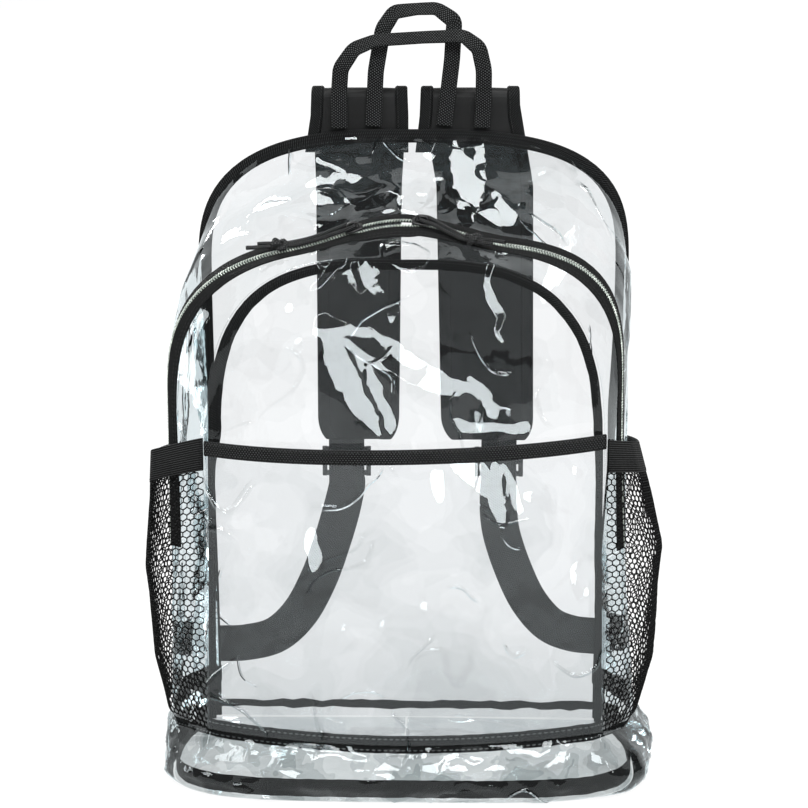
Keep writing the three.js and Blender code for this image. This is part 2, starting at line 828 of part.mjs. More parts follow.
function buildBindings() {
  const backFrames = fullStations.map((station) => ({
    origin: archPoint(backArch, station, 0, floorThickness + gap),
    across: outwardAt(station).negate(),
    out: vector(0, 1, 0),
  }));
  const aboveTape = frontArch.foot + bootTapeHeight / 2 + gap;
  const frontFrames = fullStations.map((station) => ({
    origin: archPoint(frontArch, station, 0, aboveTape).add(vector(0, film / 2 + gap, 0)),
    across: outwardAt(station).negate(),
    out: vector(0, 1, 0),
  }));
  const frontSection = (i) => {
    const top = Math.sin(fullStations[i].angle ?? 0);
    const inset = lerp(frontBindingSide.inset, frontBindingTop.inset, top);
    const width = lerp(frontBindingSide.width, frontBindingTop.width, top);
    return rectangle(inset, inset + width, 0, frontBindingThickness);
  };
  const pocketFrames = pocketColumnList.map((column) => {
    const at = (c) => pocketPoint(c, 1, pocketTop(c));
    const along = at(Math.min(column + 0.02, 1)).sub(at(Math.max(column - 0.02, -1))).setZ(0);
    const down = vector(0, 0, -1);
    return { origin: at(column), across: down, out: along.normalize().cross(down).normalize() };
  });
  place(
    "bindings",
    [
      "back_binding",
      stripSolid(backFrames, foldedTape(bindingWidth, film, bindingWall)),
      materials.webbing,
    ],
    ["front_binding", stripSolid(frontFrames, frontSection), materials.webbing],
    [
      "slip_pocket_binding",
      stripSolid(pocketFrames, foldedTape(pocketBindingHeight, film, bindingWall)),
      materials.webbing,
    ],
  );
}

// What lies at a station on one side of the zip: its coil row's frame and the tape's, from the row to the film.
function zipPlace(side, station) {
  const { origin, along, across, out } = zipFrame(station);
  across.multiplyScalar(side.sign);
  const shift = station.angle === undefined ? 0 : openingAt(origin.x);
  const edge = origin.clone().addScaledVector(across, coilRowWidth + 2 * gap + shift);
  const toFilm = gussetPoint(side, station, 0).sub(edge);
  const width = toFilm.length() - gap;
  const slope = toFilm.normalize();
  const rise = along.clone().cross(slope).normalize();
  if (rise.dot(out) < 0) rise.negate();
  return { coil: { origin, across, out }, tape: { origin: edge, across: slope, out: rise }, shift, width };
}

function buildZip() {
  for (const [name, side] of Object.entries(zipSides)) {
    const places = upperStations.map((station) => zipPlace(side, station));
    const coil = stripSolid(
      places.map((spot) => spot.coil),
      (i) => {
        const low = places[i].shift + gap / 2;
        return rectangle(low, low + coilRowWidth, -coilHeight / 2, coilHeight / 2);
      },
    );
    const tape = stripSolid(
      places.map((spot) => spot.tape),
      (i) => rectangle(0, places[i].width, -tapeThickness / 2, tapeThickness / 2),
    );
    place(
      "zip",
      [`zip_coil_${name}`, coil, materials.coil],
      [`zip_tape_${name}`, tape, materials.webbing],
    );
  }
}

// How far the tapes have left the zip's level under a slider's edges.
function tapeLift(station) {
  const { out } = zipFrame(station);
  const reach = sliderWidth / 2 - coilRowWidth - 2 * gap;
  return Math.max(
    ...Object.values(zipSides).map((side) => Math.abs(zipPlace(side, station).tape.across.dot(out)) * reach),
  );
}

function buildSliders() {
  for (const { name, sign } of sides) {
    const x = openMiddle + sign * sliderOffset;
    const station = zipStationAt(x);
    const { origin, along, out } = zipFrame(station);
    if (along.x < 0) along.negate();
    const across = out.clone().cross(along).normalize();
    const frame = { origin, along, across, out: along.clone().cross(across) };
    const half = sliderLength / 2;
    const inner = Math.max(coilHeight / 2, tapeLift(station) + tapeThickness / 2) + 1.5 * gap;
    const outer = inner + sliderPlate;
    const wide = sliderWidth / 2;
    const top = outer + bailHeight;
    const post = -sign * (half - postLength / 2);
    const footFar = bailLength / 2;
    const footNear = footFar - bailFoot;
    const body = joined(
      boxIn(frame, [-half, -wide, inner], [half, wide, outer]),
      boxIn(frame, [-half, -wide, -outer], [half, wide, -inner]),
      boxIn(
        frame,
        [post - postLength / 2, -postWidth / 2, -outer],
        [post + postLength / 2, postWidth / 2, outer],
      ),
      boxIn(frame, [-footFar, -bailWidth / 2, outer - 0.5], [-footNear, bailWidth / 2, top]),
      boxIn(frame, [footNear, -bailWidth / 2, outer - 0.5], [footFar, bailWidth / 2, top]),
      boxIn(frame, [-footFar, -bailWidth / 2, top - bailBar], [footFar, bailWidth / 2, top]),
    );
    place(
      "zip",
      [`zip_slider_${name}`, body, materials.slider],
      [`zip_pull_${name}`, cordPull(x, sign, pullReach[name], pullDrift[name]), materials.webbing],
    );
  }
}

// A cord looped through a slider's bail, knotted, with two short tails.
function cordPull(sliderX, sign, reach, drifting) {
  const spot = (share, side) => {
    const station = zipStationAt(sliderX + sign * reach * share);
    const drift = drifting * lookUp(pullTable, share, "drift");
    const across = drift + side * lookUp(pullTable, share, "spread");
    return besideZip(station, across, lookUp(pullTable, share, "lift"), smooth(drift / 8));
  };
  const legShares = [1, 0.8, 0.6, 0.42, 0.26, 0.14, 0.06];
  const leg = legShares.map((share) => spot(share, 1));
  const turn = [0.7, 0, -0.7].map((side) => spot(-0.005 - 0.02 * (1 - Math.abs(side)), side));
  const back = legShares.toReversed().map((share) => spot(share, -1));
  const middle = spot(1, 0);
  const along = middle.clone().sub(spot(0.8, 0)).normalize();
  const { out } = zipFrame(zipStationAt(sliderX + sign * reach), true);
  const across = out.clone().cross(along).normalize();
  const basis = new THREE.Matrix4().makeBasis(along, across, along.clone().cross(across));
  const knot = new THREE.SphereGeometry(0.5, 10, 8);
  knot.scale(knotLength, knotWidth, knotHeight).applyMatrix4(basis.setPosition(middle));
  const tails = [-1, 1].map((side) => {
    const length = knotLength / 2 + (side > 0 ? tailLength : tailLength / 2);
    const start = middle.clone().addScaledVector(across, side * 1.5);
    const end = middle.clone().addScaledVector(along, length).addScaledVector(across, side * 2.5);
    return cordSolid([start, mix(start, end, 0.6).addScaledVector(across, side * 0.6), end], cordRadius);
  });
  return joined(cordSolid([...leg, ...turn, ...back], cordRadius), knot, ...tails);
}

function buildMeshPockets() {
  for (const { name, sign } of sides) {
    const rim = (share) => meshRimHeight - lookUp(rimDrops[name], share, "drop");
    const foot = (share) => lerp(frontArch.foot, backArch.foot, share) + 2 * gap;
    const point = (share, z) => {
      const station = { sign, z };
      const base =
        share < meshZipShare
          ? frontFilmPoint(station, share / meshZipShare)
          : rearFilmPoint(station, (share - meshZipShare) / (1 - meshZipShare));
      const rise = (z - foot(share)) / (rim(share) - foot(share));
      const bow = lookUp(meshFullness[name], rise, "bow") * Math.sin(Math.PI * share) ** 0.7;
      const clear = film / 2 + 4 * gap + meshThickness / 2;
      return base.setZ(z).add(vector(sign * (clear + bow), 0, 0));
    };
    const shares = steps(meshColumns);
    const wall = shares.map((share) =>
      steps(meshRows).map((rise) =>
        point(share, lerp(foot(share), rim(share) - elasticHeight - gap, rise)),
      ),
    );
    const band = shares.map((share) => [elasticHeight, 0].map((drop) => point(share, rim(share) - drop)));
    place(
      "side_pockets",
      [`mesh_pocket_${name}`, wallSolid(wall, meshThickness), materials.mesh],
      [`mesh_elastic_${name}`, wallSolid(band, elasticThickness), materials.elastic],
    );
  }
}

// The height of the back seam's outline over a place across the bag.
function backTop(x) {
  const { left, right, spring, apex } = backArch;
  const power = powerAt(backArch, x);
  const share = Math.abs(x) / (x < 0 ? left : right);
  return spring + (apex - spring) * (1 - share ** power) ** (1 / power);
}

function buildHandles() {
  for (const [name, { depth, lean, leanHeight, points }] of Object.entries(handleRoutes)) {
    const curve = new THREE.CatmullRomCurve3(
      points.map(({ x, up }) =>
        vector(x, backArch.y + depth + lean * smooth(up / leanHeight), backTop(x) + 2 * gap + up),
      ),
    );
    const fine = steps((points.length - 1) * 3).map((share) => curve.getPoint(share));
    const turns = fine.map((_, i) => {
      const low = Math.min(Math.floor(i / 3), points.length - 2);
      return lerp(points[low].turn, points[low + 1].turn, i / 3 - low);
    });
    const frames = framesAlong(fine, vector(0, -1, 0), turns);
    const [wide, thick] = [handleWidth / 2, handleThickness / 2];
    const solid = stripSolid(frames, rectangle(-wide, wide, -thick, thick));
    place("handles", [`haul_handle_${name}`, solid, materials.webbing]);
  }
}

// The side view of a shoulder strap: up behind the back seam, over the fold and down the back
const strapFront = backArch.y + film / 2 + 3 * gap + 2 * bindingWall + padThickness / 2;
const foldCentre = foldHeight - foldRadius - padThickness / 2;
const strapLine = [
  ...steps(2).map((share) => ({
    y: strapFront,
    z: lerp(strapSewnHeight, foldCentre, share),
    share: 0.15 * share - 0.2,
  })),
  ...[0.25, 0.5, 0.75].map((turn) => ({
    y: strapFront + foldRadius * (1 - Math.cos(Math.PI * turn)),
    z: foldCentre + foldRadius * Math.sin(Math.PI * turn),
    share: 0,
  })),
  ...[0.03, 0.15, 0.3, 0.5, 0.75, 0.92, 0.965, 1].map((share) => ({
    y: strapFront + 2 * foldRadius,
    z: lerp(foldCentre, strapEndHeight, share),
    share,
  })),
];

function buildStraps() {
  for (const { name, sign } of sides) {
    const table = strapTables[name];
    const line = strapLine.map(({ y, z, share }) => ({
      middle: vector(lookUp(table, share, "centre"), y, z),
      half: lookUp(table, share, "half"),
    }));
    const across = vector(1, 0, 0);
    const frames = line.map(({ middle }, i) => {
      const before = line[Math.max(i - 1, 0)].middle;
      const along = line[Math.min(i + 1, line.length - 1)].middle.clone().sub(before).setX(0);
      return { origin: middle, across, out: along.normalize().cross(across) };
    });
    const inset = bindingWall + gap;
    const thick = padThickness / 2;
    const pad = stripSolid(frames, (i) =>
      rectangle(inset - line[i].half, line[i].half - inset, -thick, thick),
    );
    const edge = (side) =>
      stripSolid(
        frames.map(({ origin, out }, i) => ({
          origin: origin.clone().addScaledVector(across, side * line[i].half),
          across: across.clone().multiplyScalar(-side),
          out,
        })),
        foldedTape(strapBindingWidth, padThickness, bindingWall),
      );
    place(
      "shoulder_straps",
      [`shoulder_strap_${name}`, pad, materials.padding],
      [`strap_binding_outer_${name}`, edge(sign), materials.webbing],
      [`strap_binding_inner_${name}`, edge(-sign), materials.webbing],
    );
    buildAdjuster(name, line.at(-1).middle.add(vector(adjusterShift[name], 0, 0)));
  }
}

// A webbing folded round a bar: its two ends at one height, its fold past the bar at another.
function hairpin(middle, grip, turnZ, endZ, width) {
  const wall = (webbingThickness / 2) * Math.sign(turnZ - endZ);
  const half = webbingThickness / 2;
  const ring = [
    [-grip - half, endZ],
    [-grip + half, endZ],
    [-grip + half, turnZ - wall],
    [grip - half, turnZ - wall],
    [grip - half, endZ],
    [grip + half, endZ],
    [grip + half, turnZ + wall],
    [-grip - half, turnZ + wall],
  ];
  const frames = [-width / 2, width / 2].map((side) => ({
    origin: vector(middle.x + side, middle.y, 0),
    across: vector(0, 1, 0),
    out: vector(0, 0, 1),
  }));
  return stripSolid(frames, ring);
}

// The webbing loop under a strap, the adjuster in it and the webbing down to the bottom corner.
function buildAdjuster(name, strapEnd) {
  const pitch = adjusterBar + adjusterSlot;
  const topBar = strapEnd.z - 6 - adjusterBar;
  const [thick, wide] = [adjusterThickness / 2, adjusterWidth / 2];
  const at = {
    origin: strapEnd.clone().setZ(0),
    along: vector(1, 0, 0),
    across: vector(0, 1, 0),
    out: vector(0, 0, 1),
  };
  const bars = [0, 1, 2].map((row) => topBar - row * pitch);
  const frame = joined(
    ...bars.map((low) => boxIn(at, [-wide, -thick, low], [wide, thick, low + adjusterBar])),
    boxIn(at, [-wide, -thick, bars[2]], [adjusterSide - wide, thick, topBar + adjusterBar]),
    boxIn(at, [wide - adjusterSide, -thick, bars[2]], [wide, thick, topBar + adjusterBar]),
  );
  const half = webbingThickness / 2;
  const grip = thick + gap + half;
  const loop = hairpin(strapEnd, grip, topBar - gap - half, strapEnd.z - gap, loopWidth);
  const tail = hairpin(strapEnd, grip, bars[1] + adjusterBar + gap + half, bars[2] - 8, loopWidth);
  const points = [
    vector(strapEnd.x, strapEnd.y + grip, bars[2] - 2),
    vector(strapEnd.x, strapEnd.y + grip, bars[2] - 8),
    ...lowerRoutes[name].map(({ x, z, out }) => vector(x, backArch.y + out, z)),
  ];
  const frames = framesAlong(new THREE.CatmullRomCurve3(points).getPoints(22), vector(0, 1, 0));
  const strip = stripSolid(frames, (i) => {
    const spread = lerp(loopWidth, lowerWebbingWidth, Math.min(1, i / 6)) / 2;
    return rectangle(-spread, spread, -half, half);
  });
  place(
    "shoulder_straps",
    [`strap_loop_${name}`, loop, materials.webbing],
    [`adjuster_${name}`, frame, materials.plastic],
    [`lower_webbing_${name}`, joined(tail, strip), materials.webbing],
  );
}

buildPanels();
buildGussets();
buildBoot();
buildBindings();
buildZip();
buildSliders();
buildMeshPockets();
buildHandles();
buildStraps();

export default bag;
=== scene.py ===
"""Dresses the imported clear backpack: film, bindings, zip, net pockets, handles and straps.

Shapes are worked out in millimetres in the part's own frame, and go into Blender in metres.
"""

from __future__ import annotations

import logging
import math
from collections.abc import Callable, Iterable, Sequence
from dataclasses import dataclass, field
from enum import Enum
from functools import cached_property
from typing import NamedTuple

import bmesh
import bpy
import numpy as np
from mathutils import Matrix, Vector, noise

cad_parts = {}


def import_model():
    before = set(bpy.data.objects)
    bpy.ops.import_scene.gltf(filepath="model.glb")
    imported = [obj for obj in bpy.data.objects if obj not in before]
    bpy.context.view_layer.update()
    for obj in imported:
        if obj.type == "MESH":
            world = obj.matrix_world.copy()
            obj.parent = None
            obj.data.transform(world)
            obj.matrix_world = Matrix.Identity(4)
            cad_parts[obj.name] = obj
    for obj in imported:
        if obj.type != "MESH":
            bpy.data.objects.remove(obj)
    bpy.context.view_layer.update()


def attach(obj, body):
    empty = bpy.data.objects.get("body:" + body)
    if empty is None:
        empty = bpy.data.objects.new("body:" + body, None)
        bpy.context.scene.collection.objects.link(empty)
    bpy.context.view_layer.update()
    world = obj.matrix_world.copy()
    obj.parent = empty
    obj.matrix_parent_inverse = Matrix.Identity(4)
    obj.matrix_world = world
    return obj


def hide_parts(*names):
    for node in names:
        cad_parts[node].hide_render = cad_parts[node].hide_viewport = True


LOG = logging.getLogger("backpack")
MM = 0.001
NOISE_SEED = 7
Array = np.ndarray
Socket = bpy.types.NodeSocket
Material = bpy.types.Material
Triple = tuple[float, float, float]
Colour = Triple

# Sizes that the pieces share, as the part's source has them
FILM = 1.2
GAP = 0.4
SEAT = FILM + GAP
ZIP_END = 165.0
PEAK_HALF_WIDTH = 75.0
BINDING_WIDTH = 10.0
BINDING_WALL = 1.0
COIL_ROW = 2.3
ZIP_TAPE = 9.0
ZIP_REACH = COIL_ROW + ZIP_TAPE + 3 * GAP


def vec(x: float, y: float, z: float) -> Array:
    """A point or direction in millimetres."""
    return np.array([x, y, z], float)


def unit(v: Array) -> Array:
    """The vector at length one."""
    return v / max(float(np.linalg.norm(v)), 1e-9)


def lerp(a: float, b: float, t: float) -> float:
    """The value a share t of the way from a to b."""
    return a + (b - a) * t


def smooth(t: float) -> float:
    """A soft step from 0 to 1."""
    t = min(max(t, 0.0), 1.0)
    return t * t * (3 - 2 * t)


def look_up(rows: Sequence[NamedTuple], share: float, column: str) -> float:
    """Reads one column of a table between its rows."""
    return float(np.interp(share, [row.share for row in rows], [getattr(row, column) for row in rows]))


class Side(Enum):
    """The two sides of the bag, as the wearer's front view has them."""

    LEFT = -1
    RIGHT = 1

    @property
    def label(self) -> str:
        """The side's word in the names of nodes."""
        return self.name.lower()

    def of(self, pair: tuple[object, object]) -> object:
        """The one of a left and right pair that belongs to this side."""
        return pair[self is Side.RIGHT]


def table(kind: type[NamedTuple], *rows: tuple[float, ...]) -> tuple[NamedTuple, ...]:
    """Rows of one kind, from their bare values."""
    return tuple(kind(*row) for row in rows)


class Bow(NamedTuple):
    """How far a surface stands out at a share of its height."""

    share: float
    bow: float


class BootRow(NamedTuple):
    """How far the boot's wall stands out at a share of its height, on each of its sides."""

    share: float
    left: float
    right: float
    front: float


class Drop(NamedTuple):
    """How far a pocket's rim drops at a share of its width from the front."""

    share: float
    drop: float


class StrapRow(NamedTuple):
    """A strap's middle and half width at a share of its way down from the fold."""

    share: float
    centre: float
    half: float


class WebPoint(NamedTuple):
    """A point of the lower webbing: across, up, and out from the back panel."""

    x: float
    z: float
    out: float


class HandlePoint(NamedTuple):
    """A point of a handle: across, up from the seam, and its turn in degrees."""

    x: float
    up: float
    turn: float


class PullRow(NamedTuple):
    """A cord pull at a share of the way to its knot."""

    share: float
    drift: float
    spread: float
    lift: float


@dataclass(frozen=True)
class Station:
    """A place along the seam arches: on a straight side, or at an angle of the round top."""

    sign: int = 0
    rise: float = 0.0
    lower: bool = False
    angle: float | None = None
    height: float | None = None

    def outward(self) -> Array:
        """The direction out of the bag across the opening that the arches go round.

        Returns:
            The direction, at length one.
        """
        if self.angle is None:
            return vec(self.sign, 0, 0)
        return vec(math.cos(self.angle), 0, math.sin(self.angle))

    def moved(self, by: float) -> Station:
        """The station a little further along.

        Args:
            by: How far, as a rise or an angle.

        Returns:
            The new station.
        """
        if self.angle is None:
            return Station(self.sign, self.rise + by, self.lower)
        return Station(angle=self.angle + by)


@dataclass(frozen=True)
class Arch:
    """One of the three arched seams that shape the bag."""

    y: float
    left: float
    right: float
    foot_left: float
    foot_right: float
    foot: float
    spring: float
    apex: float
    power_left: float
    power_right: float
    peak: float = 0.0
    lean: float = 0.0

    def power(self, x: float) -> float:
        """The power of the round top's superellipse on the side of x."""
        return self.power_left if x < 0 else self.power_right

    def half_width(self, sign: float, height: float, inset: float = 0.0) -> float:
        """Half the width on one side at a height below the springing."""
        foot, spring = (self.foot_left, self.left) if sign < 0 else (self.foot_right, self.right)
        return lerp(foot, spring, smooth((height - self.foot) / (self.spring - self.foot))) - inset

    def depth_at(self, height: float) -> float:
        """How far back the seam lies at a height."""
        share = max(0.0, (height - self.spring) / (self.apex - self.spring))
        return self.y + self.lean * share * share

    def height_at(self, station: Station, foot: float | None = None) -> float:
        """The height of a station on a straight side.

        Args:
            station: The place.
            foot: The height where the seam starts, if not the arch's own.

        Returns:
            The height in millimetres.
        """
        if station.height is not None:
            return station.height
        if station.lower:
            return lerp(self.foot if foot is None else foot, ZIP_END, station.rise)
        return lerp(ZIP_END, self.spring, station.rise)

    def point(self, station: Station, inset: float = 0.0, foot: float | None = None) -> Array:
        """The seam's point at a station.

        Args:
            station: The place along the arch.
            inset: How far inside the outline the point lies.
            foot: The height where the seam starts, if it isn't the arch's own.

        Returns:
            The point in millimetres.
        """
        if station.angle is None:
            z = self.height_at(station, foot)
            return vec(station.sign * self.half_width(station.sign, z, inset), self.depth_at(z), z)
        cos = math.cos(station.angle)
        power = 2 / self.power(cos)
        x = ((self.left if cos < 0 else self.right) - inset) * math.copysign(abs(cos) ** power, cos)
        rise = (self.apex - inset - self.spring) * abs(math.sin(station.angle)) ** power
        peak = self.peak * (1 - smooth(abs(x) / PEAK_HALF_WIDTH))
        return vec(x, self.depth_at(self.spring + rise), self.spring + rise + peak)

    def top(self, column: float, inset: float = 0.0) -> float:
        """The height of the arch over a share of its half width.

        Args:
            column: The share, less than zero to the left.
            inset: How far inside the outline the point lies.

        Returns:
            The height in millimetres.
        """
        power = self.power(column)
        rise = max(0.0, 1 - abs(column) ** power) ** (1 / power)
        return self.spring + (self.apex - inset - self.spring) * rise


class Frame(NamedTuple):
    """A place on a line, with the directions across and out of what lies there."""

    origin: Array
    across: Array
    out: Array

    def at(self, across: float, out: float) -> Array:
        """A point across and out from the frame's origin."""
        return self.origin + self.across * across + self.out * out


@dataclass(frozen=True)
class BagShape:
    """The bag's outline and rails, from which every piece takes its place.

    The film bows out by the fullness tables, and the two zip rows part by open_shift about open_middle.
    """

    back: Arch = Arch(76, 151, 160, 146, 146, 36, 340, 441, 2.8, 3.1)
    zip: Arch = Arch(-38, 158, 147, 158, 155, 40, 268, 372, 2.8, 3.6, 13, 4)
    front: Arch = Arch(-76, 129, 134, 131, 136, 46, 230, 366, 3.1, 3.0, 0, 10)
    top_sag: float = 4.0
    seam_sag: float = 5.0
    open_middle: float = -10.0
    open_half: float = 24.0
    open_taper: float = 8.0
    open_shift: float = 2.2
    side_fullness: tuple[Bow, ...] = table(Bow, (0, 14), (0.4, 8), (1, 4))
    front_fullness: tuple[Bow, ...] = table(Bow, (0, 16), (0.3, 9), (0.65, 6), (1, 1.5))
    floor_half: float = 161.0
    floor_back_half: float = 148.0
    floor_front: float = 90.0
    floor_back: float = 76.6
    corner_power: int = 4

    def upper_stations(self, straight: int = 40, side: int = 16, top: int = 46) -> list[Station]:
        """Stations from the zip's left end over the top to its right end.

        Args:
            straight: How many lie on each straight side.
            side: How many on the steep part of each round side.
            top: How many on the flat part of each half of the top.

        Returns:
            The stations in order.
        """
        up = [Station(-1, t) for t in np.linspace(0, 1, straight)]
        quarter = [math.asin(s**1.5) for s in np.linspace(0.03, 0.74, side)]
        quarter += [math.acos(s**1.5) for s in np.linspace(0.8, 0.02, top)]
        round_top = [Station(angle=math.pi - a) for a in quarter] + [Station(angle=math.pi / 2)]
        round_top += [Station(angle=a) for a in reversed(quarter)]
        return up + round_top + [Station(1, s.rise) for s in reversed(up)]

    def full_stations(self, lower: int = 30) -> list[Station]:
        """Stations from the left foot over the top to the right foot.

        Args:
            lower: How many lie below the zip's end on each side.

        Returns:
            The stations in order.
        """
        rises = np.linspace(0, 1, lower)[:-1]
        return (
            [Station(-1, t, True) for t in rises]
            + self.upper_stations()
            + [Station(1, t, True) for t in reversed(rises)]
        )

    def bow_at(self, station: Station) -> float:
        """How far the film bows out between its rails.

        Args:
            station: The place along the seams.

        Returns:
            The distance, less than zero where the film sags.
        """
        if station.angle is not None:
            return lerp(self.side_fullness[-1].bow, -self.top_sag, math.sin(station.angle))
        height = self.zip.height_at(station) - self.zip.foot
        return look_up(self.side_fullness, height / (self.zip.spring - self.zip.foot), "bow")

    def back_rail(self, station: Station) -> Array:
        """Where the side film meets the back binding."""
        return self.back.point(station, BINDING_WIDTH / 2) + vec(0, -(FILM / 2 + 3 * GAP + BINDING_WALL), 0)

    def front_rail(self, station: Station) -> Array:
        """Where the side film meets the front panel."""
        return self.front.point(station, FILM / 2) + vec(0, SEAT, 0)

    def rear_film(self, station: Station, share: float) -> Array:
        """A point of the film between the zip's line and the back binding.

        Args:
            station: The place along the seams.
            share: The share of the way from the zip's line.

        Returns:
            The point in millimetres.
        """
        start, end = self.zip.point(station), self.back_rail(station)
        bow = station.outward() * self.bow_at(station)
        return start + (end - start) * share + bow * 4 * share * (1 - share)

    def front_film(self, station: Station, share: float) -> Array:
        """A point of the film between the front seam and the zip's line."""
        start, end = self.front_rail(station), self.zip.point(station)
        return start + (end - start) * share

    def side_profile(self, station: Station, front: int = 2, rear: int = 6) -> list[Array]:
        """The side film at a station, from the front seam round to the back binding."""
        fore = [self.front_film(station, t / front) for t in range(front)]
        return fore + [self.rear_film(station, t) for t in np.linspace(0, 1, rear + 1)]

    def parted(self, station: Station) -> float:
        """How far each row of the zip has moved off its middle line.

        Args:
            station: The place along the zip.

        Returns:
            The distance in millimetres.
        """
        if station.angle is None:
            return 0.0
        off = abs(self.zip.point(station)[0] - self.open_middle)
        return self.open_shift * smooth((self.open_half - off) / self.open_taper)

    def beyond_zip(self, station: Station, sign: int) -> tuple[float, Array]:
        """Where the film starts beside the zip's tape.

        Args:
            station: The place along the zip.
            sign: 1 for the film in front of the zip, -1 for the film behind it.

        Returns:
            The share of the way from the zip's line to the seam, and the point there.
        """
        rail = self.front_rail(station) if sign > 0 else self.back_rail(station)
        share = (ZIP_REACH + self.parted(station)) / np.linalg.norm(self.zip.point(station) - rail)
        return share, self.front_film(station, 1 - share) if sign > 0 else self.rear_film(station, share)

    def zip_frame(self, station: Station, along_front: bool = False) -> tuple[Frame, Array]:
        """The zip's frame at a station, across towards the front.

        Args:
            station: The place along the zip.
            along_front: Whether it lies along the front film and not level between the two films.

        Returns:
            The frame, and the direction along the zip.
        """
        origin = self.zip.point(station)
        across = unit(self.front_rail(station) - (origin if along_front else self.back_rail(station)))
        along = unit(self.zip.point(station.moved(0.01)) - self.zip.point(station.moved(-0.01)))
        out = unit(np.cross(along, across))
        if out @ station.outward() < 0:
            out = -out
        return Frame(origin, across, out), along

    def beside_zip(self, station: Station, across: float, lift: float, bend: float) -> Array:
        """A point beside the zip, level at first and then along the front film.

        Args:
            station: The place along the zip.
            across: How far in front of its line.
            lift: How far above its tape.
            bend: 0 to lie level, 1 to follow the front film.

        Returns:
            The point in millimetres.
        """
        (level, _), (front, _) = self.zip_frame(station), self.zip_frame(station, True)
        over = level.across + (front.across - level.across) * bend
        out = level.out + (front.out - level.out) * bend
        return level.origin + over * across + out * lift

    def zip_station(self, x: float) -> Station:
        """The station of the zip's line at a place across the bag."""
        share = abs(x) / (self.zip.left if x < 0 else self.zip.right)
        return Station(angle=math.acos(math.copysign(share ** (self.zip.power(x) / 2), x)))

    def front_point(self, column: float, height: float, forward: float = 0.0) -> Array:
        """A point of the front panel, or forward of it.

        Args:
            column: The share of the half width, less than zero to the left.
            height: The height.
            forward: How far in front of the panel.

        Returns:
            The point in millimetres.
        """
        share = (height - self.front.foot) / (self.front.apex - self.front.foot)
        bow = look_up(self.front_fullness, share, "bow") * (1 - column * column)
        x = column * self.front.half_width(column, height)
        return vec(x, self.front.depth_at(height) - bow - forward, height)

    def front_foot(self, column: float) -> float:
        """The height of the seam between the front panel and the boot."""
        return self.front.foot - self.seam_sag * (1 - column * column)

    def floor_edge(self, point: Array) -> tuple[Array, Array]:
        """The edge of the floor straight out from a point, and the way out of the bag there.

        Args:
            point: A point above the floor.

        Returns:
            The edge's point, and the direction out of the bag.
        """
        sign = math.copysign(1, point[0])
        if point[1] >= 0:
            half = lerp(self.floor_half, self.floor_back_half, smooth(point[1] / self.floor_back))
            return vec(sign * half, point[1], 0), vec(sign, 0, 0)
        u, v = abs(point[0]) / self.floor_half, -point[1] / self.floor_front
        reach = (u**self.corner_power + v**self.corner_power) ** (-1 / self.corner_power)
        direction = unit(vec(sign * u**3 / self.floor_half, -(v**3) / self.floor_front, 0))
        return vec(point[0] * reach, point[1] * reach, 0), direction


@dataclass
class Patch:
    """A piece of mesh in millimetres: its points, quads with their weave coordinates, and end caps."""

    points: Array
    quads: Array
    weave: Array
    caps: list[list[int]] = field(default_factory=list)


def lengths_along(grid: Array) -> Array:
    """The mean distance run along the first axis of a grid of points."""
    steps = np.linalg.norm(np.diff(grid, axis=0), axis=2).mean(axis=1)
    return np.concatenate([[0.0], np.cumsum(steps)])


def sheet_patch(grid: Array) -> Patch:
    """A single skin through a grid of points, with weave coordinates in millimetres.

    Args:
        grid: The points, by row and column.

    Returns:
        The patch.
    """
    rows, columns = grid.shape[:2]
    index = np.arange(rows * columns).reshape(rows, columns)
    corners = [index[:-1, :-1], index[1:, :-1], index[1:, 1:], index[:-1, 1:]]
    quads = np.stack([corner.ravel() for corner in corners], axis=1)
    u, v = np.meshgrid(lengths_along(grid), lengths_along(grid.transpose(1, 0, 2)), indexing="ij")
    flat = np.stack([u.ravel(), v.ravel()], axis=1)
    return Patch(grid.reshape(-1, 3), quads, flat[quads])


def sweep_patch(
    frames: Sequence[Frame], section: Array | Callable[[int], Array], loop: bool = False
) -> Patch:
    """Carries a closed section of [across, out] pairs through frames.

    Args:
        frames: The places along the line.
        section: The section, or a function that gives it at each frame's number.
        loop: Whether the line's end joins its start.

    Returns:
        The patch, with flat ends unless it is a loop.
    """
    sections = np.array([section(i) if callable(section) else section for i in range(len(frames))])
    origin, across, out = (np.array([frame[k] for frame in frames]) for k in range(3))
    grid = origin[:, None] + sections[:, :, :1] * across[:, None] + sections[:, :, 1:] * out[:, None]
    count, sides = grid.shape[:2]
    index = np.arange(count * sides).reshape(count, sides)
    if loop:
        index = np.concatenate([index, index[:1]])
        grid = np.concatenate([grid, grid[:1]])
    turn = np.roll(index, -1, axis=1)
    quads = np.stack([index[:-1], index[1:], turn[1:], turn[:-1]], axis=2).reshape(-1, 4)
    run = lengths_along(grid)
    edge = np.linalg.norm(np.roll(sections[0], -1, axis=0) - sections[0], axis=1)
    around = np.concatenate([[0.0], np.cumsum(edge)])
    low, high = run[:-1, None] + 0 * around[None, :-1], run[1:, None] + 0 * around[None, :-1]
    before, after = around[None, :-1] + 0 * low, around[None, 1:] + 0 * low
    corners = ((low, before), (high, before), (high, after), (low, after))
    weave = np.stack([np.stack(pair, axis=2) for pair in corners], axis=2).reshape(-1, 4, 2)
    points = grid[:count].reshape(-1, 3)
    caps = [] if loop else [list(index[0]), list(index[-1][::-1])]
    return Patch(points, quads, weave, caps)


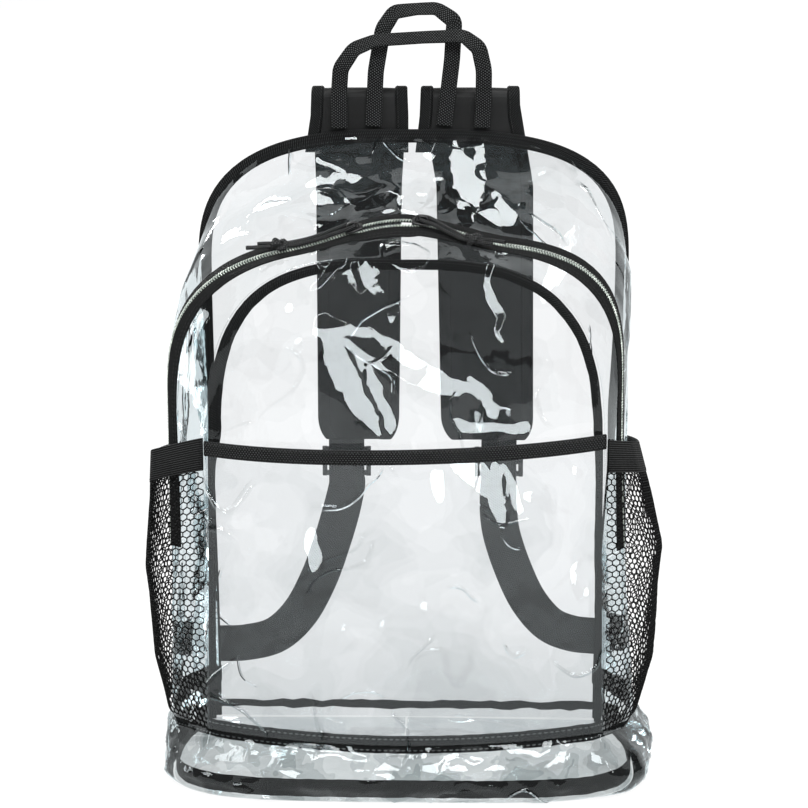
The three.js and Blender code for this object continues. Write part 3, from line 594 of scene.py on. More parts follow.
def rods_patch(spine: Array, side: Array, out: Array, radii: Array, sides: int) -> Patch:
    """Many short round rods, closed at their ends.

    Args:
        spine: The middle of every ring, by rod and by ring along it.
        side: One way across the rod at every ring.
        out: The other way across it.
        radii: The radius of each ring along a rod.
        sides: How many sides a rod has.

    Returns:
        All rods in one patch.
    """
    turn = np.linspace(0, 2 * math.pi, sides, endpoint=False)
    ring = side[:, :, None] * np.cos(turn)[:, None] + out[:, :, None] * np.sin(turn)[:, None]
    points = spine[:, :, None] + ring * radii[:, None, None]
    index = np.arange(points[..., 0].size).reshape(points.shape[:3])
    turned = np.roll(index, -1, axis=2)
    quads = np.stack([index[:, :-1], index[:, 1:], turned[:, 1:], turned[:, :-1]], axis=3).reshape(-1, 4)
    ends = np.concatenate([index[:, 0, ::-1], index[:, -1]])
    return Patch(points.reshape(-1, 3), quads, np.zeros((len(quads), 4, 2)), ends.tolist())


def mesh_object(name: str, patches: Iterable[Patch]) -> bpy.types.Object:
    """Makes one Blender object from patches.

    Args:
        name: The object's name.
        patches: Its pieces, in millimetres.

    Returns:
        The linked object, smooth shaded, with a UV map that holds millimetres of weave.
    """
    patches = list(patches)
    starts = np.cumsum([0] + [len(patch.points) for patch in patches])
    faces: list[list[int]] = []
    weave: list[Array] = []
    for patch, start in zip(patches, starts):
        faces += (patch.quads + start).tolist()
        weave.append(patch.weave.reshape(-1, 2))
        for cap in patch.caps:
            faces.append([corner + int(start) for corner in cap])
            weave.append(np.zeros((len(cap), 2)))
    mesh = bpy.data.meshes.new(name)
    mesh.from_pydata(np.concatenate([patch.points for patch in patches]) * MM, [], faces)
    layer = mesh.uv_layers.new(name="weave")
    layer.data.foreach_set("uv", np.concatenate(weave).ravel())
    mesh.polygons.foreach_set("use_smooth", [True] * len(mesh.polygons))
    obj = bpy.data.objects.new(name, mesh)
    bpy.context.scene.collection.objects.link(obj)
    make_normals_agree(obj)
    return obj


def make_normals_agree(obj: bpy.types.Object) -> None:
    """Turns an object's faces so that they all point out.

    Args:
        obj: The object.
    """
    shape = bmesh.new()
    shape.from_mesh(obj.data)
    bmesh.ops.recalc_face_normals(shape, faces=shape.faces)
    shape.to_mesh(obj.data)
    shape.free()


def band(
    low: float, high: float, bottom: float, top: float, corner: float = 0.5, rounds: int = 2
) -> Array:
    """A rounded rectangle of [across, out] pairs.

    Args:
        low: Its lowest place across.
        high: Its highest place across.
        bottom: Its lowest place out.
        top: Its highest place out.
        corner: The radius of its corners.
        rounds: How many steps turn each corner.

    Returns:
        The section's corners in order.
    """
    corner = min(corner, (high - low) / 2.01, (top - bottom) / 2.01)
    turns = [(high, bottom, -90), (high, top, 0), (low, top, 90), (low, bottom, 180)]
    section = []
    for x, y, start in turns:
        cx = x - math.copysign(corner, x - (low + high) / 2)
        cy = y - math.copysign(corner, y - (bottom + top) / 2)
        for step in range(rounds + 1):
            angle = math.radians(start + 90 * step / rounds)
            section.append((cx + corner * math.cos(angle), cy + corner * math.sin(angle)))
    return np.array(section)


def crowned(half: float, bottom: float, top: float, edge: float, count: int = 16) -> Array:
    """A flat section whose two faces swell from thin edges to a full middle.

    Args:
        half: Half its width.
        bottom: Its lowest place out.
        top: Its highest place out.
        edge: The edge's share of the full thickness.
        count: How many points each face has.

    Returns:
        The section's corners in order.
    """
    shares = np.linspace(-1, 1, count)
    swell = edge + (1 - edge) * (1 - np.abs(shares) ** 3)
    middle, thick = (bottom + top) / 2, (top - bottom) / 2
    lower = np.stack([shares * half, middle - thick * swell], axis=1)
    upper = np.stack([shares[::-1] * half, middle + thick * swell[::-1]], axis=1)
    return np.concatenate([lower, upper])


def frames_along(points: Array, normal: Array, turns: Array | None = None) -> list[Frame]:
    """Frames along a line in the plane across a normal.

    Args:
        points: The line.
        normal: The way out of the band that lies on it.
        turns: How far the band is turned about the line at each point, in degrees.

    Returns:
        A frame for each point.
    """
    turns = np.zeros(len(points)) if turns is None else turns
    tangents = np.gradient(points, axis=0)
    frames = []
    for origin, tangent, turn in zip(points, tangents, np.radians(turns)):
        flat = unit(np.cross(tangent, normal))
        across = flat * math.cos(turn) + normal * math.sin(turn)
        frames.append(Frame(origin, across, normal * math.cos(turn) - flat * math.sin(turn)))
    return frames


def even_steps(points: Array, step: float) -> tuple[Array, Array]:
    """Places every step along a line."""
    run = np.concatenate([[0.0], np.cumsum(np.linalg.norm(np.diff(points, axis=0), axis=1))])
    return run, np.arange(step / 2, run[-1] - step / 4, step)


def between(run: Array, values: Array, places: Array) -> Array:
    """Values along a line, read at other places."""
    return np.stack([np.interp(places, run, values[:, k]) for k in range(values.shape[1])], axis=1)


def between_rows(run: Array, values: Array, at: Array) -> Array:
    """Values along a line, read at a grid of places."""
    return np.stack([between(run, values, row) for row in at.T], axis=1)


def rounded_line(points: Array, count: int) -> Array:
    """A smooth line of count points through given points, by Catmull and Rom's rule.

    Args:
        points: The given points.
        count: How many points the smooth line has.

    Returns:
        The smooth line.
    """
    ends = np.concatenate([[2 * points[0] - points[1]], points, [2 * points[-1] - points[-2]]])
    out = []
    for t in np.linspace(0, len(points) - 1, count):
        k = min(int(t), len(points) - 2)
        a, b, c, d = ends[k : k + 4]
        s = t - k
        square, cube = 2 * a - 5 * b + 4 * c - d, 3 * b - a - 3 * c + d
        out.append(0.5 * (2 * b + (c - a) * s + square * s**2 + cube * s**3))
    return np.array(out)


def tube_patch(line: Array, radius: Callable[[float, float], float] | float, sides: int = 8) -> Patch:
    """A round cord along a line of points.

    Args:
        line: The cord's middle.
        radius: Its radius, or a function of the distance run and the turn round it.
        sides: How many sides it has.

    Returns:
        The patch, capped at both ends.
    """
    tangents = np.gradient(line, axis=0)
    run, _ = even_steps(line, 1.0)
    normal = unit(np.cross(tangents[0], vec(0.3, 0.2, 1)))
    frames = []
    for origin, tangent in zip(line, tangents):
        normal = unit(normal - unit(tangent) * (normal @ unit(tangent)))
        frames.append(Frame(origin, normal, unit(np.cross(unit(tangent), normal))))
    turns = np.linspace(0, 2 * math.pi, sides, endpoint=False)

    def ring(i: int) -> Array:
        """The cord's section at a frame."""
        reach = [radius(run[i], turn) if callable(radius) else radius for turn in turns]
        return np.stack([reach * np.cos(turns), reach * np.sin(turns)], axis=1)

    return sweep_patch(frames, ring)


@dataclass(frozen=True)
class StitchRow:
    """A row of thread stitches: even pitch, each a short thread that dips at its ends."""

    pitch: float = 3.4
    length: float = 2.5
    radius: float = 0.26
    sunk: float = 0.12
    rings: int = 4
    sides: int = 5

    def patch(self, points: Array, normals: Array) -> Patch:
        """The stitches along a line.

        Args:
            points: The line on the surface.
            normals: The way out of the surface at each point.

        Returns:
            All stitches of the row in one patch.
        """
        run, places = even_steps(points, self.pitch)
        share = np.linspace(-0.5, 0.5, self.rings)
        at = places[:, None] + share[None] * self.length
        spine, out = between_rows(run, points, at), between_rows(run, normals, at)
        out /= np.linalg.norm(out, axis=2, keepdims=True)
        along = np.gradient(spine, axis=1)
        along /= np.linalg.norm(along, axis=2, keepdims=True)
        bulge = np.cos(share * math.pi) * 0.75 + 0.25
        middle = spine + out * (self.radius * 0.9 * bulge - self.sunk)[:, None]
        return rods_patch(middle, np.cross(along, out), out, self.radius * bulge, self.sides)

    def along(
        self,
        frames: Sequence[Frame],
        across: float | Sequence[float],
        out: float | Sequence[float],
        face: int = 0,
    ) -> Patch:
        """The stitches along a band.

        Args:
            frames: The band's frames.
            across: How far across the band the row lies, for all frames or for each.
            out: How far out its face lies, for all frames or for each.
            face: 1 or -1 for the face that the row is on, or 0 to take it from the sign of out.

        Returns:
            All stitches of the row in one patch.
        """
        across, out = np.broadcast_to(across, len(frames)), np.broadcast_to(out, len(frames))
        points = np.array([f.at(a, o) for f, a, o in zip(frames, across, out)])
        faces = np.full(len(frames), face) if face else np.sign(out)
        return self.patch(points, np.array([f.out * way for f, way in zip(frames, faces)]))


class Fold(NamedTuple):
    """A main fold of a film: a soft ridge between two points, with its width and height."""

    start: Triple
    end: Triple
    width: float
    height: float


@dataclass(frozen=True)
class Relief:
    """How a film buckles: slow waves, shorter ones, sharp creases and a few main folds."""

    broad: float
    medium: float
    crease: float
    broad_size: float = 95.0
    medium_size: float = 34.0
    crease_size: float = 46.0
    stretch: float = 1.7
    seed: float = 0.0
    folds: tuple[Fold, ...] = ()

    def at(self, p: Array) -> float:
        """How far the film stands off its even surface at a point.

        Args:
            p: The point.

        Returns:
            The distance in millimetres.
        """
        q = Vector((p[0], p[1], p[2] / self.stretch)) + Vector((self.seed, 3 * self.seed, -self.seed))
        height = self.broad * noise.noise(q / self.broad_size)
        height += self.medium * noise.noise(q / self.medium_size)
        warp = noise.noise_vector(q / 60) * 16
        ridge = 1 - abs(noise.noise((q + warp) / self.crease_size)) * 5
        height += self.crease * max(0.0, ridge) ** 2
        for fold in self.folds:
            height += self.fold_height(fold, p)
        return height

    @staticmethod
    def fold_height(fold: Fold, p: Array) -> float:
        """One main fold's height at a point.

        Args:
            fold: The fold.
            p: The point.

        Returns:
            The height in millimetres.
        """
        start, end = np.array(fold.start), np.array(fold.end)
        line = end - start
        share = float((p - start) @ line / (line @ line))
        if not -0.1 < share < 1.1:
            return 0.0
        off = float(np.linalg.norm(p - start - line * share))
        fade = smooth(share * 5 + 0.5) * smooth((1 - share) * 3 + 0.3)
        return fold.height * fade * math.exp(-((off / fold.width) ** 2))


def grid_normals(grid: Array) -> Array:
    """Unit normals of a grid of points."""
    normal = np.cross(np.gradient(grid, axis=0), np.gradient(grid, axis=1))
    return normal / np.maximum(np.linalg.norm(normal, axis=2, keepdims=True), 1e-9)


def buckled(
    grid: Array, relief: Relief, room: Callable[[float, float], float] | None = None
) -> Array:
    """Gives a smooth grid its waves and creases.

    Args:
        grid: The even surface.
        relief: How it buckles.
        room: How much of the relief there is room for at shares of the two axes.

    Returns:
        The grid with its points moved along its normals, and its rim left in place.
    """
    normals = grid_normals(grid)
    rows, columns = grid.shape[:2]
    out = grid.copy()
    for i in range(rows):
        for j in range(columns):
            s, t = i / (rows - 1), j / (columns - 1)
            fade = smooth(min(s, 1 - s) * 9) * smooth(min(t, 1 - t) * 9)
            fade *= room(s, t) if room else 1.0
            if fade > 0:
                out[i, j] += normals[i, j] * relief.at(grid[i, j]) * fade
    return out


class Graph:
    """Builds the nodes of one material in few words."""

    def __init__(self, name: str) -> None:
        """Starts an empty material.

        Args:
            name: The material's name.
        """
        self.material = bpy.data.materials.new(name)
        self.material.use_nodes = True
        self.tree = self.material.node_tree
        self.tree.nodes.clear()

    def feed(self, socket: Socket, value: object) -> None:
        """Links an output to a socket, or sets its value.

        Args:
            socket: The input socket.
            value: An output socket, or a plain value.
        """
        if isinstance(value, Socket):
            self.tree.links.new(value, socket)
        else:
            socket.default_value = value

    def node(
        self, kind: str, inputs: dict[str | int, object] | None = None, **settings: object
    ) -> bpy.types.Node:
        """Adds a node.

        Args:
            kind: The node's type, without its ShaderNode prefix.
            inputs: What goes into its sockets, by name or number.
            **settings: Its own properties.

        Returns:
            The new node.
        """
        made = self.tree.nodes.new("ShaderNode" + kind)
        for key, value in settings.items():
            setattr(made, key, value)
        for key, value in (inputs or {}).items():
            self.feed(made.inputs[key], value)
        return made

    def math(self, operation: str, *values: object, clamp: bool = False) -> Socket:
        """The result of a Math node."""
        made = self.node("Math", dict(enumerate(values)), operation=operation, use_clamp=clamp)
        return made.outputs[0]

    def vector(self, operation: str, *values: object, scale: object = None) -> Socket:
        """The result of a Vector Math node.

        Args:
            operation: The node's operation.
            *values: The vectors that go in.
            scale: What the vector is multiplied by, if the operation is to scale it.

        Returns:
            The output socket.
        """
        made = self.node("VectorMath", dict(enumerate(values)), operation=operation)
        if scale is not None:
            self.feed(made.inputs["Scale"], scale)
        return made.outputs["Value" if operation in ("DOT_PRODUCT", "DISTANCE") else "Vector"]

    def place(self) -> Socket:
        """The place on the object, in metres."""
        return self.node("TexCoord").outputs["Object"]

    def field(self, place: object, scale: float, detail: float, output: int = 0) -> Socket:
        """A noise over places: its value, or its colour as output 1."""
        return self.node("TexNoise", {"Vector": place, "Scale": scale, "Detail": detail}).outputs[output]

    def wave(self, value: object, pitch: float, phase: object = 0.0) -> Socket:
        """A sine of a length, with its pitch, from 0 to 1."""
        turns = self.math("ADD", self.math("MULTIPLY", value, 2 * math.pi / pitch), phase)
        return self.math("MULTIPLY_ADD", self.math("SINE", turns), 0.5, 0.5)

    def noise(
        self, scale: float, detail: float = 3.0, stretch: Triple = (1.0, 1.0, 1.0)
    ) -> Socket:
        """The value of a noise over the object, a scale to the metre."""
        mapped = self.node("Mapping", {"Vector": self.place(), "Scale": stretch}).outputs[0]
        return self.field(mapped, scale, detail)

    def blend(self, share: object, low: object, high: object) -> Socket:
        """A colour between two.

        Args:
            share: How much of the second colour there is.
            low: The first colour.
            high: The second colour.

        Returns:
            The output socket.
        """
        made = self.node("Mix", data_type="RGBA")
        self.feed(made.inputs[0], share)
        for socket, colour in ((made.inputs[6], low), (made.inputs[7], high)):
            self.feed(socket, (*colour, 1) if isinstance(colour, tuple) else colour)
        return made.outputs[2]

    def step(self, value: object, low: float, high: float) -> Socket:
        """A smooth step from 0 at the low value to 1 at the high one, which may be the lesser."""
        ends = {1: low, 2: high, 3: 0.0, 4: 1.0} if low < high else {1: high, 2: low, 3: 1.0, 4: 0.0}
        return self.node("MapRange", {0: value, **ends}, interpolation_type="SMOOTHSTEP").outputs[0]

    def bump(self, height: object, distance: float, normal: object = None) -> Socket:
        """A normal from a height, with its depth in millimetres.

        Args:
            height: The height, from 0 to 1.
            distance: What a height of 1 stands for.
            normal: The normal that it bends.

        Returns:
            The output socket.
        """
        inputs = {"Height": height, "Distance": distance * MM, "Strength": 1.0}
        if normal is not None:
            inputs["Normal"] = normal
        return self.node("Bump", inputs).outputs[0]

    def finish(self, shader: Socket) -> Material:
        """Ends the material with a shader."""
        self.node("OutputMaterial", {"Surface": shader})
        return self.material


def dye(level: float, cool: float = 0.0) -> Colour:
    """A grey of a level, with a little more green and blue than red."""
    return (level, level + cool, level + cool)


class Weave(Enum):
    """How a band or cloth is woven."""

    BASKET = "basket"
    TWILL = "twill"
    RIBBED = "ribbed"
    PLAIN = "plain"


@dataclass(frozen=True)
class WovenFinish:
    """A woven cloth or band, whose threads follow the piece's own length, with a painted highlight on their
    raised tops.
    """

    name: str
    weave: Weave
    dark: Colour
    # light is the paler colour of the raised thread tops: a painted highlight, broken up by lint and patchy
    # tone.
    light: Colour
    along: float
    across: float
    relief: float
    roughness: float = 0.72
    lint: float = 0.35
    gloss: float = 0.05

    def threads(self, graph: Graph) -> Socket:
        """The height of the threads, from 0 to 1.

        Args:
            graph: The material's nodes.

        Returns:
            The output socket.
        """
        place = graph.node("SeparateXYZ", {0: graph.node("UVMap", uv_map="weave").outputs[0]})
        u, v = place.outputs[0], place.outputs[1]
        if self.weave is Weave.PLAIN:
            return graph.math("MULTIPLY", graph.wave(u, self.along), graph.wave(v, self.across))
        if self.weave is Weave.RIBBED:
            knots = graph.math("MULTIPLY_ADD", graph.wave(u, self.along), 0.35, 0.65)
            return graph.math("MULTIPLY", knots, graph.wave(v, self.across))
        if self.weave is Weave.TWILL:
            slant = graph.wave(graph.math("MULTIPLY_ADD", v, 0.9, u), self.along)
            grain = graph.math("MULTIPLY_ADD", graph.wave(v, self.across), 0.4, 0.6)
            return graph.math("MULTIPLY", slant, grain)
        row = graph.math("FLOOR", graph.math("DIVIDE", v, self.across))
        shift = graph.math("MULTIPLY", graph.math("MODULO", row, 2.0), math.pi)
        dots = graph.wave(u, self.along, shift)
        ridge = graph.math("ABSOLUTE", graph.math("SINE", graph.math("MULTIPLY", v, math.pi / self.across)))
        return graph.math("MULTIPLY", dots, ridge)

    def material(self) -> Material:
        """The finish as a Blender material.

        Returns:
            The material.
        """
        graph = Graph(self.name)
        threads = self.threads(graph)
        lint = graph.noise(900, 4)
        patchy = graph.noise(38, 2)
        fluff = graph.math("MULTIPLY_ADD", lint, self.lint * 2, 1 - self.lint)
        # Painted highlight on the raised thread tops, broken up by lint and patchy tone.
        paler = graph.math("MULTIPLY", threads, fluff)
        spots = graph.math("POWER", paler, 2.2)
        share = graph.math("MULTIPLY", spots, graph.math("MULTIPLY_ADD", patchy, 0.9, 0.8), clamp=True)
        fuzz = graph.bump(lint, 0.05)
        shader = graph.node(
            "BsdfPrincipled",
            {
                "Base Color": graph.blend(share, self.dark, self.light),
                "Roughness": graph.math("MULTIPLY_ADD", threads, -0.12, self.roughness),
                "Normal": graph.bump(threads, self.relief, fuzz),
                "Specular IOR Level": self.gloss,
            },
        )
        return graph.finish(shader.outputs[0])


class Glint(NamedTuple):
    """A folded facet that mirrors a soft box: its two ends across and up, and its reach about each."""

    x: float
    z: float
    end_x: float
    end_z: float
    first: float
    last: float


@dataclass(frozen=True)
class FilmFinish:
    """Clear vinyl: what is behind shows through, and its waves mirror the room. Patches of painted shade and
    painted shade along its creases darken what shows through, and it is darker towards the bottom.
    """

    name: str = "clear_vinyl"
    tint: Colour = (0.93, 0.935, 0.94)
    # shade is the colour of the painted shade patches that darken the tint.
    shade: Colour = (0.85, 0.86, 0.865)
    rim: Colour = (0.42, 0.47, 0.48)
    # line is the colour of the painted shade along creases.
    line: Colour = (0.30, 0.33, 0.33)
    lean: Triple = (0.08, 0.0, 0.38)
    ior: float = 1.43
    roughness: float = 0.03
    wave: float = 8.0
    ripple: float = 0.22
    crease: float = 1.2
    haze: float = 0.003
    # How much painted shade lies along the creases.
    crease_shade: float = 0.1
    # How much the film darkens towards the bottom, to the rim colour.
    bottom_darkening: float = 0.0
    stretch: Triple = (1.0, 1.0, 0.62)
    # The scale of the painted shade patches.
    painted_shade_cloud: float = 12.0
    cover: float = 0.0
    slant: Triple = (1.0, 1.0, 0.35)
    glints: tuple[Glint, ...] = ()

    def drifted(self, graph: Graph, scale: float, reach: float) -> Socket:
        """The place on the object, moved about by a noise so that patterns have ragged bends.

        Args:
            graph: The material's nodes.
            scale: The scale of the noise.
            reach: How far it moves the place, in metres.

        Returns:
            The output socket.
        """
        place = graph.place()
        centred = graph.vector("SUBTRACT", graph.field(place, scale, 3.0, 1), (0.5, 0.5, 0.5))
        return graph.vector("ADD", place, graph.vector("MULTIPLY", centred, (reach, reach, reach)))

    def creases(self, graph: Graph) -> Socket:
        """Where the film is sharply creased, from 0 to 1.

        Args:
            graph: The material's nodes.

        Returns:
            The output socket.
        """
        level = graph.math("SUBTRACT", graph.field(self.drifted(graph, 12.0, 0.03), 10.0, 1.0), 0.5)
        thin = graph.step(graph.math("ABSOLUTE", level), 0.009, 0.0)
        return graph.math("MULTIPLY", thin, graph.step(graph.noise(13, 1), 0.5, 0.58))

    def surface(self, graph: Graph, creases: Socket) -> Socket:
        """The normal of the waves, ripples and creases.

        Args:
            graph: The material's nodes.
            creases: Where the film is creased.

        Returns:
            The output socket.
        """
        waves = graph.bump(graph.noise(17, 1.5, self.stretch), self.wave)
        creased = graph.bump(creases, self.crease, waves)
        rippled = graph.bump(graph.noise(120, 2, (1.0, 1.0, 0.5)), self.ripple, creased)
        patches = self.patches(graph)
        even = graph.node("NewGeometry").outputs["Normal"]
        share = graph.math("MULTIPLY", patches, 0.7)
        calm = graph.node("Mix", {0: share, 4: rippled, 5: even}, data_type="VECTOR").outputs[1]
        lean = graph.vector("SCALE", self.lean, scale=patches)
        return graph.vector("NORMALIZE", graph.vector("ADD", calm, lean))

    def patches(self, graph: Graph) -> Socket:
        """Where the film is folded to a facet of its own, as sharp-edged patches.

        Args:
            graph: The material's nodes.

        Returns:
            The output socket, 1 inside a facet.
        """
        flat = graph.vector("MULTIPLY", self.drifted(graph, 48.0, 0.016), (1, 0, 1))
        strokes = graph.node("Mapping", {"Vector": self.drifted(graph, 20.0, 0.02), "Scale": self.slant})
        strokes.inputs["Rotation"].default_value = (0.0, 0.6, 0.0)
        field = graph.field(strokes.outputs[0], 46.0, 1.0)
        cover = graph.step(field, 0.73 - self.cover, 0.735 - self.cover)
        for glint in self.glints:
            start = Vector((glint.x * MM, 0, glint.z * MM))
            way = Vector((glint.end_x * MM, 0, glint.end_z * MM)) - start
            off = graph.vector("SUBTRACT", flat, start)
            run = graph.vector("DOT_PRODUCT", off, way / way.length_squared)
            share = graph.math("ADD", run, 0.0, clamp=True)
            gap = graph.vector("DISTANCE", off, graph.vector("SCALE", way, scale=share))
            width = graph.math("MULTIPLY_ADD", share, (glint.last - glint.first) * MM, glint.first * MM)
            inside = graph.step(graph.math("SUBTRACT", width, gap), -0.0003, 0.0005)
            cover = graph.math("MAXIMUM", cover, inside)
        return cover

    def material(self) -> Material:
        """The finish as a Blender material.

        Returns:
            The material.
        """
        graph = Graph(self.name)
        creases = self.creases(graph)
        normal = self.surface(graph, creases)
        # Painted shade: posterised patches that darken the tint towards the shade colour.
        painted_shade_field = graph.field(self.drifted(graph, 30.0, 0.02), self.painted_shade_cloud, 2.0)
        painted_shade_steps = [graph.step(painted_shade_field, at, at + 0.006) for at in (0.44, 0.53, 0.6)]
        painted_shade_cloud = graph.math("MULTIPLY", graph.math("ADD", graph.math("ADD", *painted_shade_steps[:2]), painted_shade_steps[2]), 0.333)
        tint = graph.blend(painted_shade_cloud, self.tint, self.shade)
        # Painted shade along the creases.
        crease_shaded = graph.blend(graph.math("MULTIPLY", creases, self.crease_shade), tint, self.line)
        facing = graph.node("LayerWeight", {"Blend": 0.32, "Normal": normal}).outputs["Facing"]
        rimmed = graph.blend(graph.math("POWER", facing, 2.2), crease_shaded, self.rim)
        # Darker towards the bottom, by height.
        height = graph.node("SeparateXYZ", {0: graph.place()}).outputs[2]
        depth = graph.math("MULTIPLY", graph.step(height, 0.2, 0.04), self.bottom_darkening)
        darkened_low = graph.blend(depth, rimmed, self.rim)
        clear = graph.node("BsdfTransparent", {"Color": darkened_low})
        dust = graph.node("BsdfDiffuse", {"Color": (0.82, 0.85, 0.86, 1), "Normal": normal})
        shine = {"Color": (0.93, 0.985, 1.0, 1), "Roughness": self.roughness, "Normal": normal}
        gloss = graph.node("BsdfAnisotropic", shine)
        hazed = graph.node("MixShader", {0: self.haze, 1: clear.outputs[0], 2: dust.outputs[0]})
        mirror = graph.node("Fresnel", {"IOR": self.ior, "Normal": normal})
        shader = graph.node("MixShader", {0: mirror.outputs[0], 1: hazed.outputs[0], 2: gloss.outputs[0]})
        return graph.finish(shader.outputs[0])


@dataclass(frozen=True)
class SolidFinish:
    """Moulded plastic, lacquered metal or nylon, with fine unevenness and paler worn places."""

    name: str
    base: Colour
    paler: Colour
    roughness: float
    metallic: float = 0.0
    grain: float = 0.04
    coat: float = 0.0

    def material(self) -> Material:
        """The finish as a Blender material.

        Returns:
            The material.
        """
        graph = Graph(self.name)
        speck = graph.noise(700, 3)
        wear = graph.node("MapRange", {0: graph.noise(160, 3), 1: 0.45, 2: 0.75}).outputs[0]
        shader = graph.node(
            "BsdfPrincipled",
            {
                "Base Color": graph.blend(wear, self.base, self.paler),
                "Roughness": graph.math("MULTIPLY_ADD", speck, 0.2, self.roughness - 0.1),
                "Metallic": self.metallic,
                "Normal": graph.bump(speck, self.grain),
                "Coat Weight": self.coat,
            },
        )
        return graph.finish(shader.outputs[0])


class Finishes:
    """All finishes of the bag, made once."""

    def __init__(self) -> None:
        """Builds the materials."""
        self.film = FilmFinish().material()
        self.front_film = FilmFinish(
            "clear_vinyl_front",
            wave=6.5,
            lean=(0.08, 0.0, 0.31),
            glints=table(
                Glint,
                (-50, 322, 22, 289, 8, 8), (22, 289, 72, 269, 7, 0.5), (-49, 316, -36, 286, 6, 10),
                (-36, 286, -14, 254, 9, 3), (-24, 300, -6, 256, 5, 3), (56, 366, 60, 340, 2, 3),
                (60, 340, 67, 312, 3, 1.5), (44, 288, 62, 268, 2, 5), (38, 258, 80, 256, 5, 3),
                (-58, 346, -40, 364, 2, 5), (-30, 360, -27, 345, 2.5, 3.5), (-62, 372, -44, 352, 2, 1),
            ),
        ).material()
        self.over_film = FilmFinish(
            "clear_vinyl_over",
            crease=1.8,
            wave=11,
            cover=0.05,
            # Strong painted shade along the creases.
            crease_shade=0.7,
            ior=1.5,
            lean=(0.05, -0.35, -0.15),
            glints=table(
                Glint,
                (34, 432, 41, 412, 2, 8), (41, 412, 46, 386, 9, 6), (52, 426, 47, 402, 4, 6),
                (62, 398, 72, 386, 3, 6), (-58, 396, -36, 398, 6, 2), (-40, 410, -60, 420, 1, 3),
                (-12, 404, 12, 384, 1, 2),
            ),
        ).material()
        self.pocket_film = FilmFinish(
            "clear_vinyl_pocket",
            wave=7,
            cover=0.04,
            # Darker towards the bottom.
            bottom_darkening=0.3,
            glints=table(
                Glint,
                (40, 238, 62, 214, 10, 6), (62, 230, 78, 206, 6, 3), (84, 214, 110, 198, 4, 1),
                (96, 238, 118, 228, 1, 3), (100, 150, 124, 168, 1, 3),
            ),
        ).material()
        self.boot_film = FilmFinish(
            "clear_vinyl_boot",
            # The boot's film: dark painted shade patches, strong painted shade along its creases, and darker
            # towards the bottom.
            tint=(0.86, 0.88, 0.88),
            shade=(0.42, 0.46, 0.46),
            lean=(0.08, 0.0, 0.55),
            ior=1.4,
            wave=13,
            ripple=0.6,
            crease=2.6,
            haze=0.005,
            crease_shade=0.9,
            bottom_darkening=0.2,
            stretch=(0.5, 0.8, 1.2),
            painted_shade_cloud=34,
            cover=0.11,
            slant=(0.6, 1.0, 0.8),
        ).material()
        black, ink = dye(0.0006), dye(0.004)
        basket, twill, ribbed, plain = Weave
        self.webbing = WovenFinish("webbing", basket, black, dye(0.05, 0.002), 1.9, 1.35, 0.34).material()
        self.binding = WovenFinish("binding_tape", twill, black, dye(0.018, 0.001), 1.6, 1.1, 0.3).material()
        self.tape = WovenFinish("zip_tape", twill, black, dye(0.02, 0.001), 0.9, 0.7, 0.15).material()
        self.elastic = WovenFinish("elastic", ribbed, black, dye(0.03, 0.001), 1.1, 1.5, 0.35).material()
        self.pad = WovenFinish(
            "strap_cloth", plain, dye(0.001), dye(0.014, 0.001), 0.8, 0.8, 0.06, roughness=0.5, gloss=0.12
        ).material()
        self.net = WovenFinish("net_yarn", plain, black, dye(0.02), 0.6, 0.4, 0.05).material()
        self.cord = WovenFinish("braided_cord", basket, black, dye(0.09, 0.002), 1.5, 1.1, 0.3).material()
        self.thread = WovenFinish(
            "thread", plain, dye(0.012), dye(0.08, 0.002), 0.5, 0.3, 0.04, roughness=0.5
        ).material()
        # Thread for the boot's stitches, painted pale as a painted highlight on the thread.
        self.glint_painted_thread = WovenFinish(
            "glint_painted_thread", plain, dye(0.1), dye(0.6, 0.02), 0.5, 0.3, 0.04, roughness=0.4, gloss=0.5
        ).material()
        self.coil = SolidFinish("zip_coil", (0.26, 0.29, 0.26), (0.62, 0.66, 0.60), 0.34, 0.3).material()
        self.lacquer = SolidFinish("slider_lacquer", ink, dye(0.02), 0.34, 0.3).material()
        self.plastic = SolidFinish("moulded_plastic", ink, dye(0.01), 0.46).material()


@dataclass
class SubAssembly:
    """A group of pieces that are built together from the bag's shape and finishes."""

    shape: BagShape
    finishes: Finishes
    pieces: list[bpy.types.Object] = field(default_factory=list)

    def show(
        self, obj: bpy.types.Object, finish: Material, slot: str, nodes: Sequence[str] = ()
    ) -> bpy.types.Object:
        """Gives a piece its finish and its place in the part.

        Args:
            obj: The piece.
            finish: Its material.
            slot: The record's material slot; not used.
            nodes: The CAD nodes that it stands for.

        Returns:
            The piece.
        """
        obj.data.materials.append(finish)
        if nodes:
            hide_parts(*nodes)
        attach(obj, "root")
        self.pieces.append(obj)
        return obj

    def make(
        self,
        name: str,
        patches: Iterable[Patch],
        finish: Material,
        slot: str,
        nodes: Sequence[str] = (),
    ) -> bpy.types.Object:
        """Makes a piece of patches and shows it."""
        return self.show(mesh_object(name, patches), finish, slot, nodes)

    def sew(self, name: str, rows: Iterable[Patch], slot: str = "webbing") -> None:
        """Makes rows of dark stitches."""
        self.make(f"stitches_{name}", rows, self.finishes.thread, slot)

    def report(self) -> None:
        """Logs each piece with its faces."""
        for piece in self.pieces:
            LOG.info("%s: %s, %d faces", type(self).__name__, piece.name, len(piece.data.polygons))


